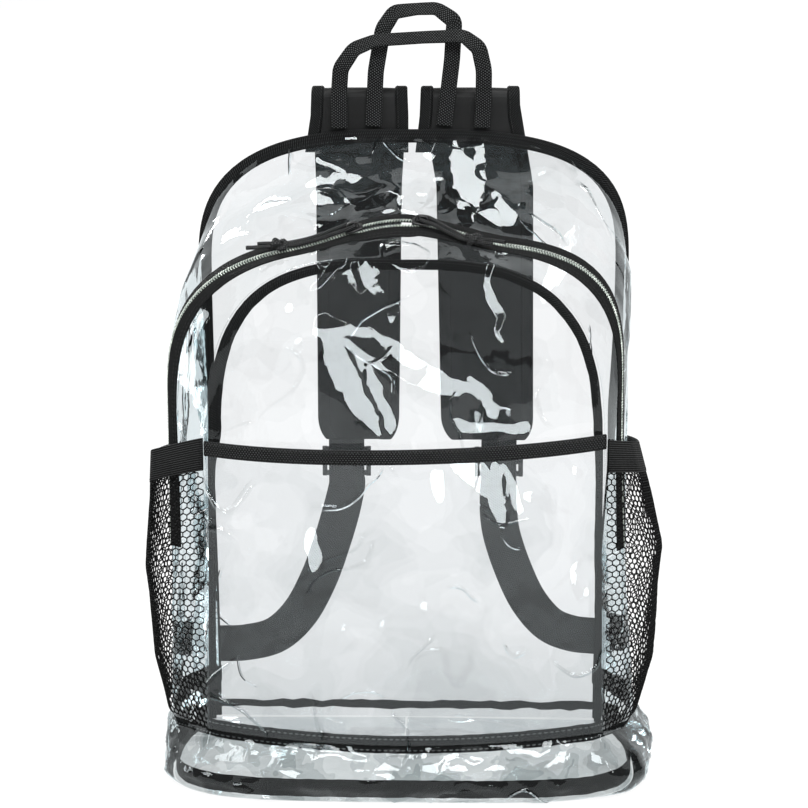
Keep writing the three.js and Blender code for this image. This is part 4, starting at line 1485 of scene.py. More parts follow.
@dataclass
class FilmPanels(SubAssembly):
    """The clear film: back, front, slip pocket, gussets, sides, boot and floor."""

    panel_columns: int = 100
    panel_rows: int = 110
    pocket_rows: int = 80
    gusset_steps: tuple[int, int] = (44, 18)
    side_steps: int = 44
    boot_steps: int = 24
    floor_steps: int = 12
    pocket_top_left: float = 246.0
    pocket_top_right: float = 252.0
    pocket_top_sag: float = 5.0
    pocket_fullness: float = 9.0
    boot_fade: float = 35.0
    boot_rows: tuple[BootRow, ...] = table(
        BootRow,
        (0, 0, 0, 0), (0.1, 5, 9, 5), (0.32, 6, 15, 9), (0.62, 4, 13, 8), (0.85, 2, 6, 4), (1, 0, 0, 0),
    )

    def arch_grid(self, arch: Arch, inset: float, foot: Callable[[float], float]) -> Array:
        """Columns and rows over an arched panel.

        Args:
            arch: The seam round it.
            inset: How far inside the outline it ends.
            foot: The height of its lower edge at each column.

        Returns:
            A grid of (column, height) pairs.
        """
        columns = np.sin(np.linspace(-0.5, 0.5, self.panel_columns) * math.pi)
        rows = np.linspace(0, 1, self.panel_rows)
        return np.array([[(c, lerp(foot(c), arch.top(c, inset), t)) for t in rows] for c in columns])

    def back_panel(self) -> Array:
        """The back panel, which lies nearly flat against the straps.

        Returns:
            The grid of its points.
        """
        arch, inset = self.shape.back, BINDING_WALL + GAP
        places = self.arch_grid(arch, inset, lambda c: 1.6)
        grid = [[vec(c * arch.half_width(c, z, inset), arch.y, z) for c, z in row] for row in places]
        return buckled(np.array(grid), Relief(0.9, 0.35, 0.35, seed=11))

    def front_panel(self) -> Array:
        """The front panel over the slip pocket and behind it.

        Returns:
            The grid of its points.
        """
        places = self.arch_grid(self.shape.front, 0, lambda c: self.shape.front_foot(c) + GAP)
        grid = np.array([[self.shape.front_point(c, z) for c, z in row] for row in places])
        folds = (
            Fold((-78, -84, 330), (-38, -86, 262), 9, 2.2),
            Fold((-46, -84, 318), (26, -86, 262), 11, 2.0),
            Fold((30, -80, 345), (48, -86, 275), 8, 2.0),
            Fold((-100, -80, 300), (-88, -84, 255), 8, 1.6),
            Fold((96, -80, 300), (84, -84, 262), 8, 1.8),
        )
        relief = Relief(2.6, 0.9, 0.8, seed=3, folds=folds)
        return buckled(grid, relief, lambda s, t: 0.25 + 0.75 * smooth((t - 0.5) * 5))

    def pocket_top(self, column: float) -> float:
        """The height of the slip pocket's bound edge."""
        top = lerp(self.pocket_top_left, self.pocket_top_right, (column + 1) / 2)
        return top - self.pocket_top_sag * (1 - column * column)

    def pocket_point(self, column: float, rise: float, height: float) -> Array:
        """A point of the slip pocket's film.

        Args:
            column: The share of the half width, less than zero to the left.
            rise: The share of the way up to the bound edge.
            height: The height.

        Returns:
            The point in millimetres.
        """
        edge = lerp(SEAT, FILM + 3 * GAP + BINDING_WALL, rise)
        fullness = self.pocket_fullness * (1 - column**4) * smooth(rise * 1.6)
        return self.shape.front_point(column, height, edge + fullness)

    def slip_pocket(self) -> Array:
        """The slip pocket's film, which bellies out in front of the panel.

        Returns:
            The grid of its points.
        """
        grid = []
        for column in np.sin(np.linspace(-0.5, 0.5, self.panel_columns) * math.pi):
            foot, top = self.shape.front_foot(column) + GAP, self.pocket_top(column) - BINDING_WALL - GAP
            rises = np.linspace(0, 1, self.pocket_rows)
            grid.append([self.pocket_point(column, t, lerp(foot, top, t)) for t in rises])
        folds = (
            Fold((-98, -92, 232), (-70, -100, 180), 10, -1.4),
            Fold((88, -98, 200), (106, -94, 150), 7, 1.6),
            Fold((60, -98, 96), (108, -94, 128), 6, 1.3),
            Fold((-110, -94, 72), (-86, -98, 66), 4, 1.2),
        )
        relief = Relief(2.2, 0.7, 0.8, seed=8, folds=folds)
        return buckled(np.array(grid), relief, lambda s, t: 0.2 + 0.8 * smooth(t * 3))

    def gusset(self, rear: bool) -> Array:
        """The film from the zip's tape to the seam, on its rear or front side.

        Args:
            rear: Whether it is the film behind the zip.

        Returns:
            The grid of its points.
        """
        grid = []
        for station in self.shape.upper_stations():
            start, _ = self.shape.beyond_zip(station, -1 if rear else 1)
            shares = np.linspace(start, 1, self.gusset_steps[not rear])
            if rear:
                grid.append([self.shape.rear_film(station, t) for t in shares])
            else:
                grid.append([self.shape.front_film(station, 1 - t) for t in shares])
        if not rear:
            return buckled(np.array(grid), Relief(1.2, 0.7, 0.9, seed=21))
        folds = (
            Fold((-14, -30, 384), (-62, 30, 416), 7, 2.4),
            Fold((-8, -28, 386), (-28, 28, 424), 6, 1.8),
            Fold((6, -28, 386), (40, 34, 426), 8, 2.2),
            Fold((22, -26, 384), (66, 30, 414), 7, 1.8),
            Fold((-40, -26, 376), (-104, 20, 392), 8, 2.0),
            Fold((-158, -10, 300), (-156, 40, 350), 8, 2.2),
            Fold((148, -10, 300), (158, 40, 352), 8, 2.2),
        )
        return buckled(np.array(grid), Relief(2.4, 1.0, 1.0, seed=5, folds=folds))

    def side_panel(self, side: Side) -> Array:
        """The film of one side below the zip's end, behind the net pocket.

        Args:
            side: The side of the bag.

        Returns:
            The grid of its points.
        """
        lift = 2 * GAP / (ZIP_END - self.shape.zip.foot)
        rises = np.linspace(lift, 1 - lift, self.side_steps)
        grid = [self.shape.side_profile(Station(side.value, t, True), 14, 34) for t in rises]
        return buckled(np.array(grid), Relief(1.4, 0.8, 0.9, seed=30 + side.value))

    def boot_seam(self, count: int = 96) -> list[Array]:
        """The seam line round the top of the boot, from back to back over the front.

        Args:
            count: How many points lie along the front.

        Returns:
            The points of the line.
        """
        left, right = (self.shape.side_profile(Station(sign, 0, True), 12, 40)[1:] for sign in (-1, 1))
        columns = np.linspace(-1, 1, count)
        front = [self.pocket_point(c, 0, self.shape.front_foot(c)) for c in columns]
        return left[::-1] + front + right

    def boot_wall(self) -> Array:
        """The boot's film, gathered round the foot of the bag.

        Returns:
            The grid of its points.
        """
        grid = []
        for seam in self.boot_seam():
            edge, direction = self.shape.floor_edge(seam)
            fade = 1 - smooth((seam[1] - self.boot_fade) / (self.shape.back.y - self.boot_fade))
            start = edge + direction * (FILM / 2 + GAP) + vec(0, 0, FILM / 2)
            end = seam - vec(0, 0, 2 * GAP)
            row = []
            for share in np.linspace(0, 1, self.boot_steps):
                side = look_up(self.boot_rows, share, "left" if direction[0] < 0 else "right")
                out = lerp(look_up(self.boot_rows, share, "front"), side, direction[0] ** 2) * fade
                row.append(start + (end - start) * share + direction * out)
            grid.append(row)
        return buckled(np.array(grid), Relief(3.4, 1.9, 1.5, 44, 20, 26, 0.9, seed=17))

    def floor_panel(self) -> Array:
        """The film of the floor, as rings round its middle.

        Returns:
            The grid of its points.
        """
        rim = [self.shape.floor_edge(seam)[0] for seam in self.boot_seam()]
        rim = [vec(-1, self.shape.floor_back, 0), *rim, vec(1, self.shape.floor_back, 0)]
        shares = np.linspace(0.02, 1, self.floor_steps)
        return np.array([[point * t + vec(0, 0, FILM / 2) for t in shares] for point in rim])

    def build(self) -> None:
        """Makes each film."""
        grids = {
            "back_panel": self.back_panel(),
            "front_panel": self.front_panel(),
            "slip_pocket": self.slip_pocket(),
            "rear_gusset": self.gusset(True),
            "front_gusset": self.gusset(False),
            "side_panel_left": self.side_panel(Side.LEFT),
            "side_panel_right": self.side_panel(Side.RIGHT),
            "boot_wall": self.boot_wall(),
            "floor_panel": self.floor_panel(),
        }
        own = {
            "front_panel": self.finishes.front_film,
            "slip_pocket": self.finishes.pocket_film,
            "rear_gusset": self.finishes.over_film,
            "boot_wall": self.finishes.boot_film,
        }
        for name, grid in grids.items():
            finish = own.get(name, self.finishes.film)
            self.make(f"film_{name}", [sheet_patch(grid)], finish, "clear_film", [name])


@dataclass
class Bindings(SubAssembly):
    """The black tapes that bind the seams, with their rows of stitches."""

    panels: FilmPanels | None = None
    stitch: StitchRow = StitchRow()
    boot_stitch: StitchRow = StitchRow(4.0, 2.7, 0.5)
    back_thickness: float = 3.2
    back_widths: tuple[float, float] = (6.4, BINDING_WIDTH - 0.2)
    back_widens: tuple[float, float] = (190.0, 60.0)
    back_stitch: float = 2.2
    front_thickness: float = 1.8
    front_insets: tuple[float, float] = (1.0, 1.4)
    front_low: float = 6.0
    front_side: tuple[float, float] = (9.0, 6.0)
    front_top: float = 6.8
    front_widest: float = 13.4
    front_widens: tuple[float, float] = (222.0, 34.0)
    front_stitch: tuple[float, float] = (4.4, 3.4)
    boot_height: float = 13.0
    boot_thickness: float = 1.5
    floor_height: float = 13.0
    floor_thickness: float = 1.6
    loop_behind: tuple[float, float] = (64.0, 6.0)
    loop_drawn: float = 6.5
    pocket_height: float = 10.0
    pocket_thickness: float = 3.4

    def back_binding(self) -> None:
        """The tape folded over the back panel's edge."""
        arch, foot = self.shape.back, FILM + GAP
        stations = self.shape.full_stations()
        frames = [Frame(arch.point(s, 0, foot), -s.outward(), vec(0, 1, 0)) for s in stations]
        half = self.back_thickness / 2
        low, high = self.back_widths
        start, over = self.back_widens
        widths = np.array([lerp(low, high, smooth((frame.origin[2] - start) / over)) for frame in frames])
        tape = sweep_patch(frames, lambda i: band(0.2, widths[i], -half, half, 1.4, 4))
        self.make("binding_back", [tape], self.finishes.binding, "webbing", ["back_binding"])
        insets = widths - self.back_stitch
        self.sew("back", [self.stitch.along(frames, insets, out) for out in (-half, half)])

    def front_binding(self) -> None:
        """The tape inside the front panel's seam, with its uneven edge."""
        arch, foot = self.shape.front, self.shape.front.foot + self.boot_height / 2 + GAP
        stations = self.shape.full_stations()
        lift = vec(0, FILM / 2 + GAP, 0)
        frames = [Frame(arch.point(s, 0, foot) + lift, -s.outward(), vec(0, 1, 0)) for s in stations]

        def section(i: int) -> Array:
            """The tape's section, narrower over the top and a little uneven along its edge.

            Args:
                i: The number of the frame.

            Returns:
                The section's corners.
            """
            top = math.sin(stations[i].angle or 0)
            uneven = 0.5 * noise.noise(Vector(frames[i].origin) / 11)
            start, over = self.front_widens
            full = smooth((frames[i].origin[2] - start) / over)
            wide = self.front_side[int(stations[i].outward()[0] >= 0)]
            low = lerp(*self.front_insets, full) + max(uneven, 0)
            upper = self.front_insets[1] + lerp(wide, self.front_top, top)
            high = lerp(self.front_low, upper, full) + uneven
            return band(low, min(high, self.front_widest), 0.1, self.front_thickness, 0.7)

        tape = sweep_patch(frames, section)
        self.make("binding_front", [tape], self.finishes.binding, "webbing", ["front_binding"])
        insets = [lerp(*self.front_stitch, math.sin(station.angle or 0)) for station in stations]
        self.sew("front", [self.stitch.along(frames, insets, 0.1, -1)])

    def pocket_binding(self) -> None:
        """The webbing folded over the slip pocket's top edge."""
        frames = []
        for column in np.linspace(-1, 1, 90):
            origin, before, after = (
                self.panels.pocket_point(c, 1, self.panels.pocket_top(c))
                for c in (column, max(column - 0.02, -1), min(column + 0.02, 1))
            )
            along, down = unit((after - before) * vec(1, 1, 0)), vec(0, 0, -1)
            frames.append(Frame(origin, down, unit(np.cross(along, down))))
        half = self.pocket_thickness / 2
        tape = sweep_patch(frames, band(0, self.pocket_height, -half, half, 1.3, 4))
        self.make("binding_slip_pocket", [tape], self.finishes.webbing, "webbing", ["slip_pocket_binding"])
        front = -math.copysign(half, frames[45].out[1])
        rows = [self.stitch.along(frames, across, front) for across in (1.6, self.pocket_height - 1.8)]
        self.sew("slip_pocket", rows)

    def upright_tape(
        self, name: str, line: Array, height: float, thick: float, loop: bool
    ) -> list[Frame]:
        """An upright tape along a line, whose edges waver a little and draw in behind.

        Args:
            name: The CAD node it stands for.
            line: Its middle.
            height: How tall it is.
            thick: How thick it is.
            loop: Whether it closes on itself.

        Returns:
            Its frames.
        """
        ring = np.concatenate([line[-1:], line, line[:1]]) if loop else line
        tangents = np.gradient(ring, axis=0)[1:-1] if loop else np.gradient(line, axis=0)
        up = vec(0, 0, 1)
        frames = [Frame(p, up, unit(np.cross(unit(t * vec(1, 1, 0)), up))) for p, t in zip(line, tangents)]
        half = height / 2

        def section(i: int) -> Array:
            """The tape's section.

            Args:
                i: The number of the frame.

            Returns:
                The section's corners.
            """
            start, over = self.loop_behind
            behind = smooth((frames[i].origin[1] - start) / over) if loop else 0.0
            rag = 0.5 + 1.6 * behind
            edges = (Vector(frames[i].origin + way * half * up) for way in (-1, 1))
            low, high = (rag * noise.noise(edge / 7) for edge in edges)
            drawn = self.loop_drawn * behind
            return band(-half + 0.3 + low + drawn, half - 0.3 + high, -thick / 2, thick / 2, 0.6)

        tape = sweep_patch(frames, section, loop)
        self.make(f"tape_{name}", [tape], self.finishes.binding, "webbing", [name])
        return frames

    def boot_tape(self) -> None:
        """The tape inside the boot's seam, sewn with two rows of stitches."""
        inside = FILM / 2 + 2 * GAP + self.boot_thickness / 2
        sides = []
        for sign in (-1, 1):
            profile = np.array(self.shape.side_profile(Station(sign, 0, True), 12, 36)[12:])
            run = np.gradient(profile, axis=0)
            across = np.array([unit(np.cross(t, vec(0, 0, 1))) for t in run])
            across *= -np.sign((across * profile).sum(axis=1))[:, None]
            sides.append(profile + across * inside)
        columns = np.linspace(-1, 1, 80)
        front = [self.shape.front_point(c * 0.95, self.shape.front_foot(c)) for c in columns]
        line = np.concatenate([sides[0][::-1], np.array(front) + vec(0, inside, 0), sides[1]])
        frames = self.upright_tape("boot_tape", line, self.boot_height, self.boot_thickness, False)
        faces = [math.copysign(self.boot_thickness / 2, f.out @ (f.origin * vec(1, 1, 0))) for f in frames]
        rows = [self.boot_stitch.along(frames, across, faces) for across in (-3.9, 3.9)]
        # The boot's stitches use thread painted pale as a painted highlight.
        self.make("stitches_boot", rows, self.finishes.glint_painted_thread, "webbing")

    def floor_binding(self) -> None:
        """The tape that stands inside the floor's edge."""
        inside = GAP + self.floor_thickness
        lift = FILM + 3 * GAP + self.floor_height / 2
        line = []
        for seam in self.panels.boot_seam()[2:-2]:
            edge, direction = self.shape.floor_edge(seam)
            line.append(edge - direction * inside + vec(0, 0, lift))
        back = self.shape.back.y - FILM / 2 - BINDING_WALL - 2 * GAP - self.floor_thickness / 2
        half = self.shape.floor_back_half - inside - 1
        line += [vec(x, back, lift) for x in np.linspace(half, -half, 40)]
        self.upright_tape("floor_binding", np.array(line), self.floor_height, self.floor_thickness, True)

    def build(self) -> None:
        """Makes each tape."""
        self.back_binding()
        self.front_binding()
        self.pocket_binding()
        self.boot_tape()
        self.floor_binding()


@dataclass
class ZipChain(SubAssembly):
    """The arched zip: two rows of coil, their tapes, two sliders and their cord pulls."""

    stitch: StitchRow = StitchRow(2.9, 2.1, 0.24)
    coil_height: float = 2.4
    tape_half: float = 0.45
    tooth_pitch: float = 1.9
    tooth_radius: float = 0.5
    tooth_slant: float = 0.5
    tooth_rings: int = 7
    tooth_sides: int = 6
    slider_offset: float = 22.0
    slider_length: float = 12.0
    slider_width: float = 9.0
    plate: float = 1.2
    post_half: float = 0.9
    bail_height: float = 4.3
    bail_reach: float = 3.8
    knot_girth: float = 1.15
    cord_radius: float = 1.6
    knot: Triple = (13.0, 11.0, 8.5)
    tail: float = 15.0
    reach: tuple[float, float] = (50.0, 38.0)
    drift: tuple[float, float] = (-0.15, 0.9)
    pull_rows: tuple[PullRow, ...] = table(
        PullRow,
        (0, 0, 2.7, 4.9), (0.15, 0.6, 2.7, 4.6), (0.45, 5, 2, 3.4), (0.8, 10, 1.5, 3), (1, 12, 1.3, 4.6),
    )

    def rows(self, sign: int) -> tuple[list[Frame], list[Frame], list[float], list[float]]:
        """The frames of one coil row and its tape.

        Args:
            sign: 1 for the front row, -1 for the rear one.

        Returns:
            The coil's frames, the tape's frames, how far each has parted, and the tape's widths.
        """
        coils, tapes, shifts, widths = [], [], [], []
        for station in self.shape.upper_stations():
            frame, along = self.shape.zip_frame(station)
            across = frame.across * sign
            shift = self.shape.parted(station)
            _, film = self.shape.beyond_zip(station, sign)
            edge = frame.origin + across * (COIL_ROW + 2 * GAP + shift)
            slope = unit(film - edge)
            rise = unit(np.cross(along, slope))
            coils.append(Frame(frame.origin, across, frame.out))
            tapes.append(Frame(edge, slope, rise if rise @ frame.out > 0 else -rise))
            shifts.append(shift)
            widths.append(float(np.linalg.norm(film - edge)) - GAP)
        return coils, tapes, shifts, widths

    def teeth(self, coils: list[Frame], shifts: list[float]) -> Patch:
        """The coil's turns: one slanting bar after another, arched over the row.

        Args:
            coils: The row's frames.
            shifts: How far the row has parted at each.

        Returns:
            The turns in one patch.
        """
        line = np.array([frame.origin for frame in coils])
        run, places = even_steps(line, self.tooth_pitch)
        share = np.linspace(0, 1, self.tooth_rings)
        over = 0.12 + share * (COIL_ROW - 0.25)
        lift = (self.coil_height / 2 - 0.5) * np.sin(share * math.pi) ** 0.6
        slant = (share - 0.5) * self.tooth_slant * 2
        at = places[:, None] + slant[None]
        origin, across, out = (between_rows(run, np.array([f[k] for f in coils]), at) for k in range(3))
        spine = origin + across * (over + np.interp(at, run, shifts))[..., None] + out * lift[:, None]
        radii = np.full(self.tooth_rings, self.tooth_radius)
        return rods_patch(spine, np.cross(across, out), out, radii, self.tooth_sides)

    def chain(self) -> None:
        """The two coil rows with their tapes and stitches."""
        for word, sign in (("rear", -1), ("front", 1)):
            coils, tapes, shifts, widths = self.rows(sign)
            low, half = -self.coil_height / 2, self.tape_half
            teeth = self.teeth(coils, shifts)
            self.make(f"zip_row_{word}", [teeth], self.finishes.coil, "zip_coil", [f"zip_coil_{word}"])
            bed = sweep_patch(coils, lambda i: band(shifts[i] + 0.3, shifts[i] + COIL_ROW, low, -0.2, 0.3))
            tape = sweep_patch(tapes, lambda i: band(-0.6, widths[i], -half, half, 0.3))
            self.make(f"zip_cloth_{word}", [tape, bed], self.finishes.tape, "webbing", [f"zip_tape_{word}"])
            rows = [self.stitch.along(tapes, np.array(widths) - inset, half) for inset in (1.6, 4.2)]
            self.sew(f"zip_{word}", rows)

    def tape_lift(self, frame: Frame, station: Station) -> float:
        """How far the tapes leave the zip's level under a slider's edges.

        Args:
            frame: The zip's frame under the slider.
            station: The place along the zip.

        Returns:
            The distance in millimetres.
        """
        inner = COIL_ROW + 2 * GAP
        shift = self.shape.parted(station)
        lifts = []
        for sign in (-1, 1):
            _, film = self.shape.beyond_zip(station, sign)
            slope = unit(film - frame.origin - frame.across * sign * (inner + shift))
            lifts.append(abs(float(slope @ frame.out)) * (self.slider_width / 2 - inner))
        return max(lifts)

    def slider(self, side: Side) -> None:
        """A slider: two shouldered plates, the post between them and the bail that holds its cord.

        Args:
            side: Which of the two it is.
        """
        x = self.shape.open_middle + side.value * self.slider_offset
        station = self.shape.zip_station(x)
        frame, along = self.shape.zip_frame(station)
        along = along if along[0] > 0 else -along
        across = np.cross(frame.out, along)
        out = np.cross(along, across)
        half, wide = self.slider_length / 2, self.slider_width / 2
        inner = max(self.coil_height / 2, self.tape_lift(frame, station) + 0.5) + 1.5 * GAP
        outer = inner + self.plate
        shares = np.linspace(0, 1, 13)
        widths = wide * (0.72 + 0.28 * np.sin(shares * math.pi * 0.72) ** 0.8)
        widths[0] *= 0.86
        widths[-1] *= 0.8
        places = -side.value * (half - 2 * half * shares)
        plates = []
        for low, high in ((inner, outer), (-outer, -inner)):
            frames = [Frame(frame.origin + along * p, across, out) for p in places]
            plates.append(sweep_patch(frames, lambda i: band(-widths[i], widths[i], low, high, 0.45, 3)))
        nose = -side.value * (half - 1)
        steps = (-self.post_half, 0, self.post_half)
        post = [Frame(frame.origin + along * (nose + step), across, out) for step in steps]
        plates.append(sweep_patch(post, band(-0.7, 0.7, -inner - 0.2, inner + 0.2, 0.3)))
        rim = []
        for t in np.linspace(0, 1, 17):
            turn = math.pi * (1 - t)
            reach = self.bail_reach * math.copysign(abs(math.cos(turn)) ** 0.55, math.cos(turn))
            lift = outer - 0.3 + self.bail_height * math.sin(turn) ** 0.6
            rim.append(frame.origin + along * reach + out * lift)
        plates.append(sweep_patch(frames_along(np.array(rim), across), band(-0.42, 0.42, -1.1, 1.1, 0.3)))
        word = side.label
        self.make(f"slider_{word}", plates, self.finishes.lacquer, "zip_slider", [f"zip_slider_{word}"])

    def pull(self, side: Side) -> None:
        """The braided cord through a slider's bail, with its knot and two tails.

        Args:
            side: Which of the two it is.
        """
        start = self.shape.open_middle + side.value * self.slider_offset
        reach = side.of(self.reach)

        def spot(share: float, leg: float) -> Array:
            """A point of the cord at a share of the way to the knot, on one of its legs.

            Args:
                share: The share of the way to the knot.
                leg: Which side of the middle, from -1 to 1.

            Returns:
                The point in millimetres.
            """
            station = self.shape.zip_station(start + side.value * reach * share)
            words = ("drift", "spread", "lift")
            drift, spread, lift = (look_up(self.pull_rows, share, word) for word in words)
            drift *= side.of(self.drift)
            return self.shape.beside_zip(station, drift + leg * spread, lift, smooth(drift / 8))

        shares = [1, 0.8, 0.6, 0.42, 0.26, 0.14, 0.06]
        leg = [spot(s, 1) for s in shares]
        turn = [spot(-0.005 - 0.02 * (1 - abs(s)), s) for s in (0.7, 0, -0.7)]
        back = [spot(s, -1) for s in reversed(shares)]
        middle = spot(1, 0)
        along = unit(middle - spot(0.8, 0))
        frame, _ = self.shape.zip_frame(self.shape.zip_station(start + side.value * reach), True)
        across = unit(np.cross(frame.out, along))
        out = np.cross(along, across)

        def braid(run: float, around: float) -> float:
            """The cord's radius with the bulges of its plaited strands."""
            plait = math.cos(3 * around + run * 2.6) * math.cos(3 * around - run * 2.6)
            return self.cord_radius * (0.94 + 0.12 * plait)

        patches = [tube_patch(rounded_line(np.array(leg + turn + back), 260), braid, 12)]
        knot = []
        for t in np.linspace(0, 2 * math.pi, 90):
            x, y, z = math.sin(t) + 2 * math.sin(2 * t), math.cos(t) - 2 * math.cos(2 * t), -math.sin(3 * t)
            length, width, height = (0.5 * size - self.cord_radius for size in self.knot)
            knot.append(middle + along * x / 2.8 * length + across * y / 3 * width + out * z * height * 0.8)
        patches.append(tube_patch(np.array(knot), lambda run, turn: self.knot_girth * braid(run, turn), 12))
        for leg_side in (-1, 1):
            length = self.knot[0] / 2 + (self.tail if leg_side > 0 else self.tail / 2)
            first = middle + across * leg_side * 1.5
            last = middle + along * length + across * leg_side * 2.5
            bend = first + (last - first) * 0.6 + across * leg_side * 0.6
            patches.append(tube_patch(rounded_line(np.array([first, bend, last]), 60), braid, 12))
        self.make(f"pull_{side.label}", patches, self.finishes.cord, "cord", [f"zip_pull_{side.label}"])

    def build(self) -> None:
        """Makes the zip."""
        self.chain()
        for side in Side:
            self.slider(side)
            self.pull(side)


@dataclass
class NetPockets(SubAssembly):
    """The net pockets on the two sides, with their elastic rims."""

    rim_height: float = 247.0
    elastic_height: float = 22.0
    elastic_thickness: float = 1.5
    net_thickness: float = 1.2
    zip_share: float = 0.25
    cell: float = 5.6
    row: float = 3.7
    lean: float = 0.2
    yarn: float = 1.1
    wall_steps: int = 60
    rim_steps: int = 90
    stitch: StitchRow = StitchRow(3.2, 2.2, 0.24)
    fullness: tuple[tuple[Bow, ...], tuple[Bow, ...]] = (
        table(Bow, (0, 0), (0.2, 10), (0.55, 17), (1, 12)),
        table(Bow, (0, 0), (0.2, 12), (0.6, 21), (0.85, 13), (1, 6)),
    )
    rim_drops: tuple[tuple[Drop, ...], tuple[Drop, ...]] = (
        table(Drop, (0, 0), (0.3, 19), (0.5, 24), (1, 30)),
        table(Drop, (0, 0), (0.3, 10), (0.5, 16), (1, 26)),
    )

    def rim(self, side: Side, share: float) -> float:
        """The height of the pocket's rim at a share of its width."""
        return self.rim_height - look_up(side.of(self.rim_drops), share, "drop")

    def foot(self, share: float) -> float:
        """The height of the pocket's foot."""
        return lerp(self.shape.front.foot, self.shape.back.foot, share) + 2 * GAP

    def point(self, side: Side, share: float, z: float) -> Array:
        """A point of the pocket's wall.

        Args:
            side: The side of the bag.
            share: The share of the pocket's width from the front.
            z: The height.

        Returns:
            The point.
        """
        station = Station(side.value, height=z)
        if share < self.zip_share:
            base = self.shape.front_film(station, share / self.zip_share)
        else:
            base = self.shape.rear_film(station, (share - self.zip_share) / (1 - self.zip_share))
        rise = (z - self.foot(share)) / (self.rim(side, share) - self.foot(share))
        bow = look_up(side.of(self.fullness), rise, "bow") * max(math.sin(math.pi * share), 0.0) ** 0.7
        clear = FILM / 2 + 4 * GAP + self.net_thickness / 2
        return vec(base[0] + side.value * (clear + bow), base[1], z)

    def net(self, side: Side) -> None:
        """The net: a honeycomb of yarn over the pocket's wall.

        Args:
            side: The side of the bag.
        """
        last = self.wall_steps - 1
        steps = np.linspace(0, 1, self.wall_steps)
        grid = []
        for share in steps:
            foot, top = self.foot(share), self.rim(side, share) - self.elastic_height - GAP
            grid.append([self.point(side, share, lerp(foot, top, t)) for t in steps])
        wall = buckled(np.array(grid), Relief(0.9, 0.8, 0.9, 60, 26, 30, 2.2, seed=40 + side.value))
        width, height = lengths_along(wall)[-1], lengths_along(wall.transpose(1, 0, 2))[-1]
        columns, rows = int(width / self.cell), int(height / self.row)
        web = bmesh.new()
        made: dict[tuple[int, int], bmesh.types.BMVert] = {}

        def corner(i: int, j: int) -> bmesh.types.BMVert:
            """The yarn crossing at a place of the honeycomb, on the pocket's wall.

            Args:
                i: The number of the half cell along the pocket.
                j: The number of the row up it.

            Returns:
                The vertex there.
            """
            if (i, j) not in made:
                lean = -self.lean if (i + j) % 2 else self.lean
                s = min(i / (2 * columns), 1) * last
                t = min(max((j + lean) / rows, 0), 1) * last
                a, b = min(int(s), last - 1), min(int(t), last - 1)
                spot = sum(
                    wall[a + down, b + over] * abs(1 - down - s + a) * abs(1 - over - t + b)
                    for down in (0, 1)
                    for over in (0, 1)
                )
                made[i, j] = web.verts.new(spot * MM)
            return made[i, j]

        for j in range(rows):
            for i in range(j % 2, 2 * columns - 1, 2):
                ring = [(i, j), (i + 1, j), (i + 2, j), (i + 2, j + 1), (i + 1, j + 1), (i, j + 1)]
                if max(r[0] for r in ring) <= 2 * columns:
                    web.faces.new([corner(*r) for r in ring])
        mesh = bpy.data.meshes.new(f"net_{side.label}")
        web.to_mesh(mesh)
        web.free()
        mesh.uv_layers.new(name="weave")
        obj = bpy.data.objects.new(f"net_{side.label}", mesh)
        bpy.context.scene.collection.objects.link(obj)
        wire = obj.modifiers.new("yarn", "WIREFRAME")
        wire.thickness = self.yarn * MM
        wire.use_even_offset = False
        wire.use_boundary = True
        self.show(obj, self.finishes.net, "mesh", [f"mesh_pocket_{side.label}"])

    def elastic(self, side: Side) -> None:
        """The gathered elastic band along the pocket's rim.

        Args:
            side: The side of the bag.
        """

        def spot(share: float, down: float) -> Array:
            """A point of the pocket's wall below its rim."""
            share = min(max(share, 0), 1)
            return self.point(side, share, self.rim(side, share) - down)

        frames = []
        for share in np.linspace(0, 1, self.rim_steps):
            low, high = spot(share, self.elastic_height), spot(share, 0)
            before, after = (spot(share + step, self.elastic_height / 2) for step in (-0.02, 0.02))
            across = unit(high - low)
            out = unit(np.cross(after - before, across))
            out = out if out[0] * side.value > 0 else -out
            frames.append(Frame((low + high) / 2, across, out))
        half, thick = self.elastic_height / 2, self.elastic_thickness / 2

        def section(i: int) -> Array:
            """The band's section, gathered by small ripples."""
            ripple = 0.18 * math.sin(i * 1.9) * math.sin(math.pi * i / (self.rim_steps - 1))
            return band(-half, half, -thick + ripple, thick + ripple, 0.6)

        word, rim = side.label, sweep_patch(frames, section)
        self.make(f"elastic_{word}", [rim], self.finishes.elastic, "elastic", [f"mesh_elastic_{word}"])
        self.sew(f"elastic_{word}", [self.stitch.along(frames, -half + 2.2, thick)], "elastic")

    def build(self) -> None:
        """Makes both pockets."""
        for side in Side:
            self.net(side)
            self.elastic(side)


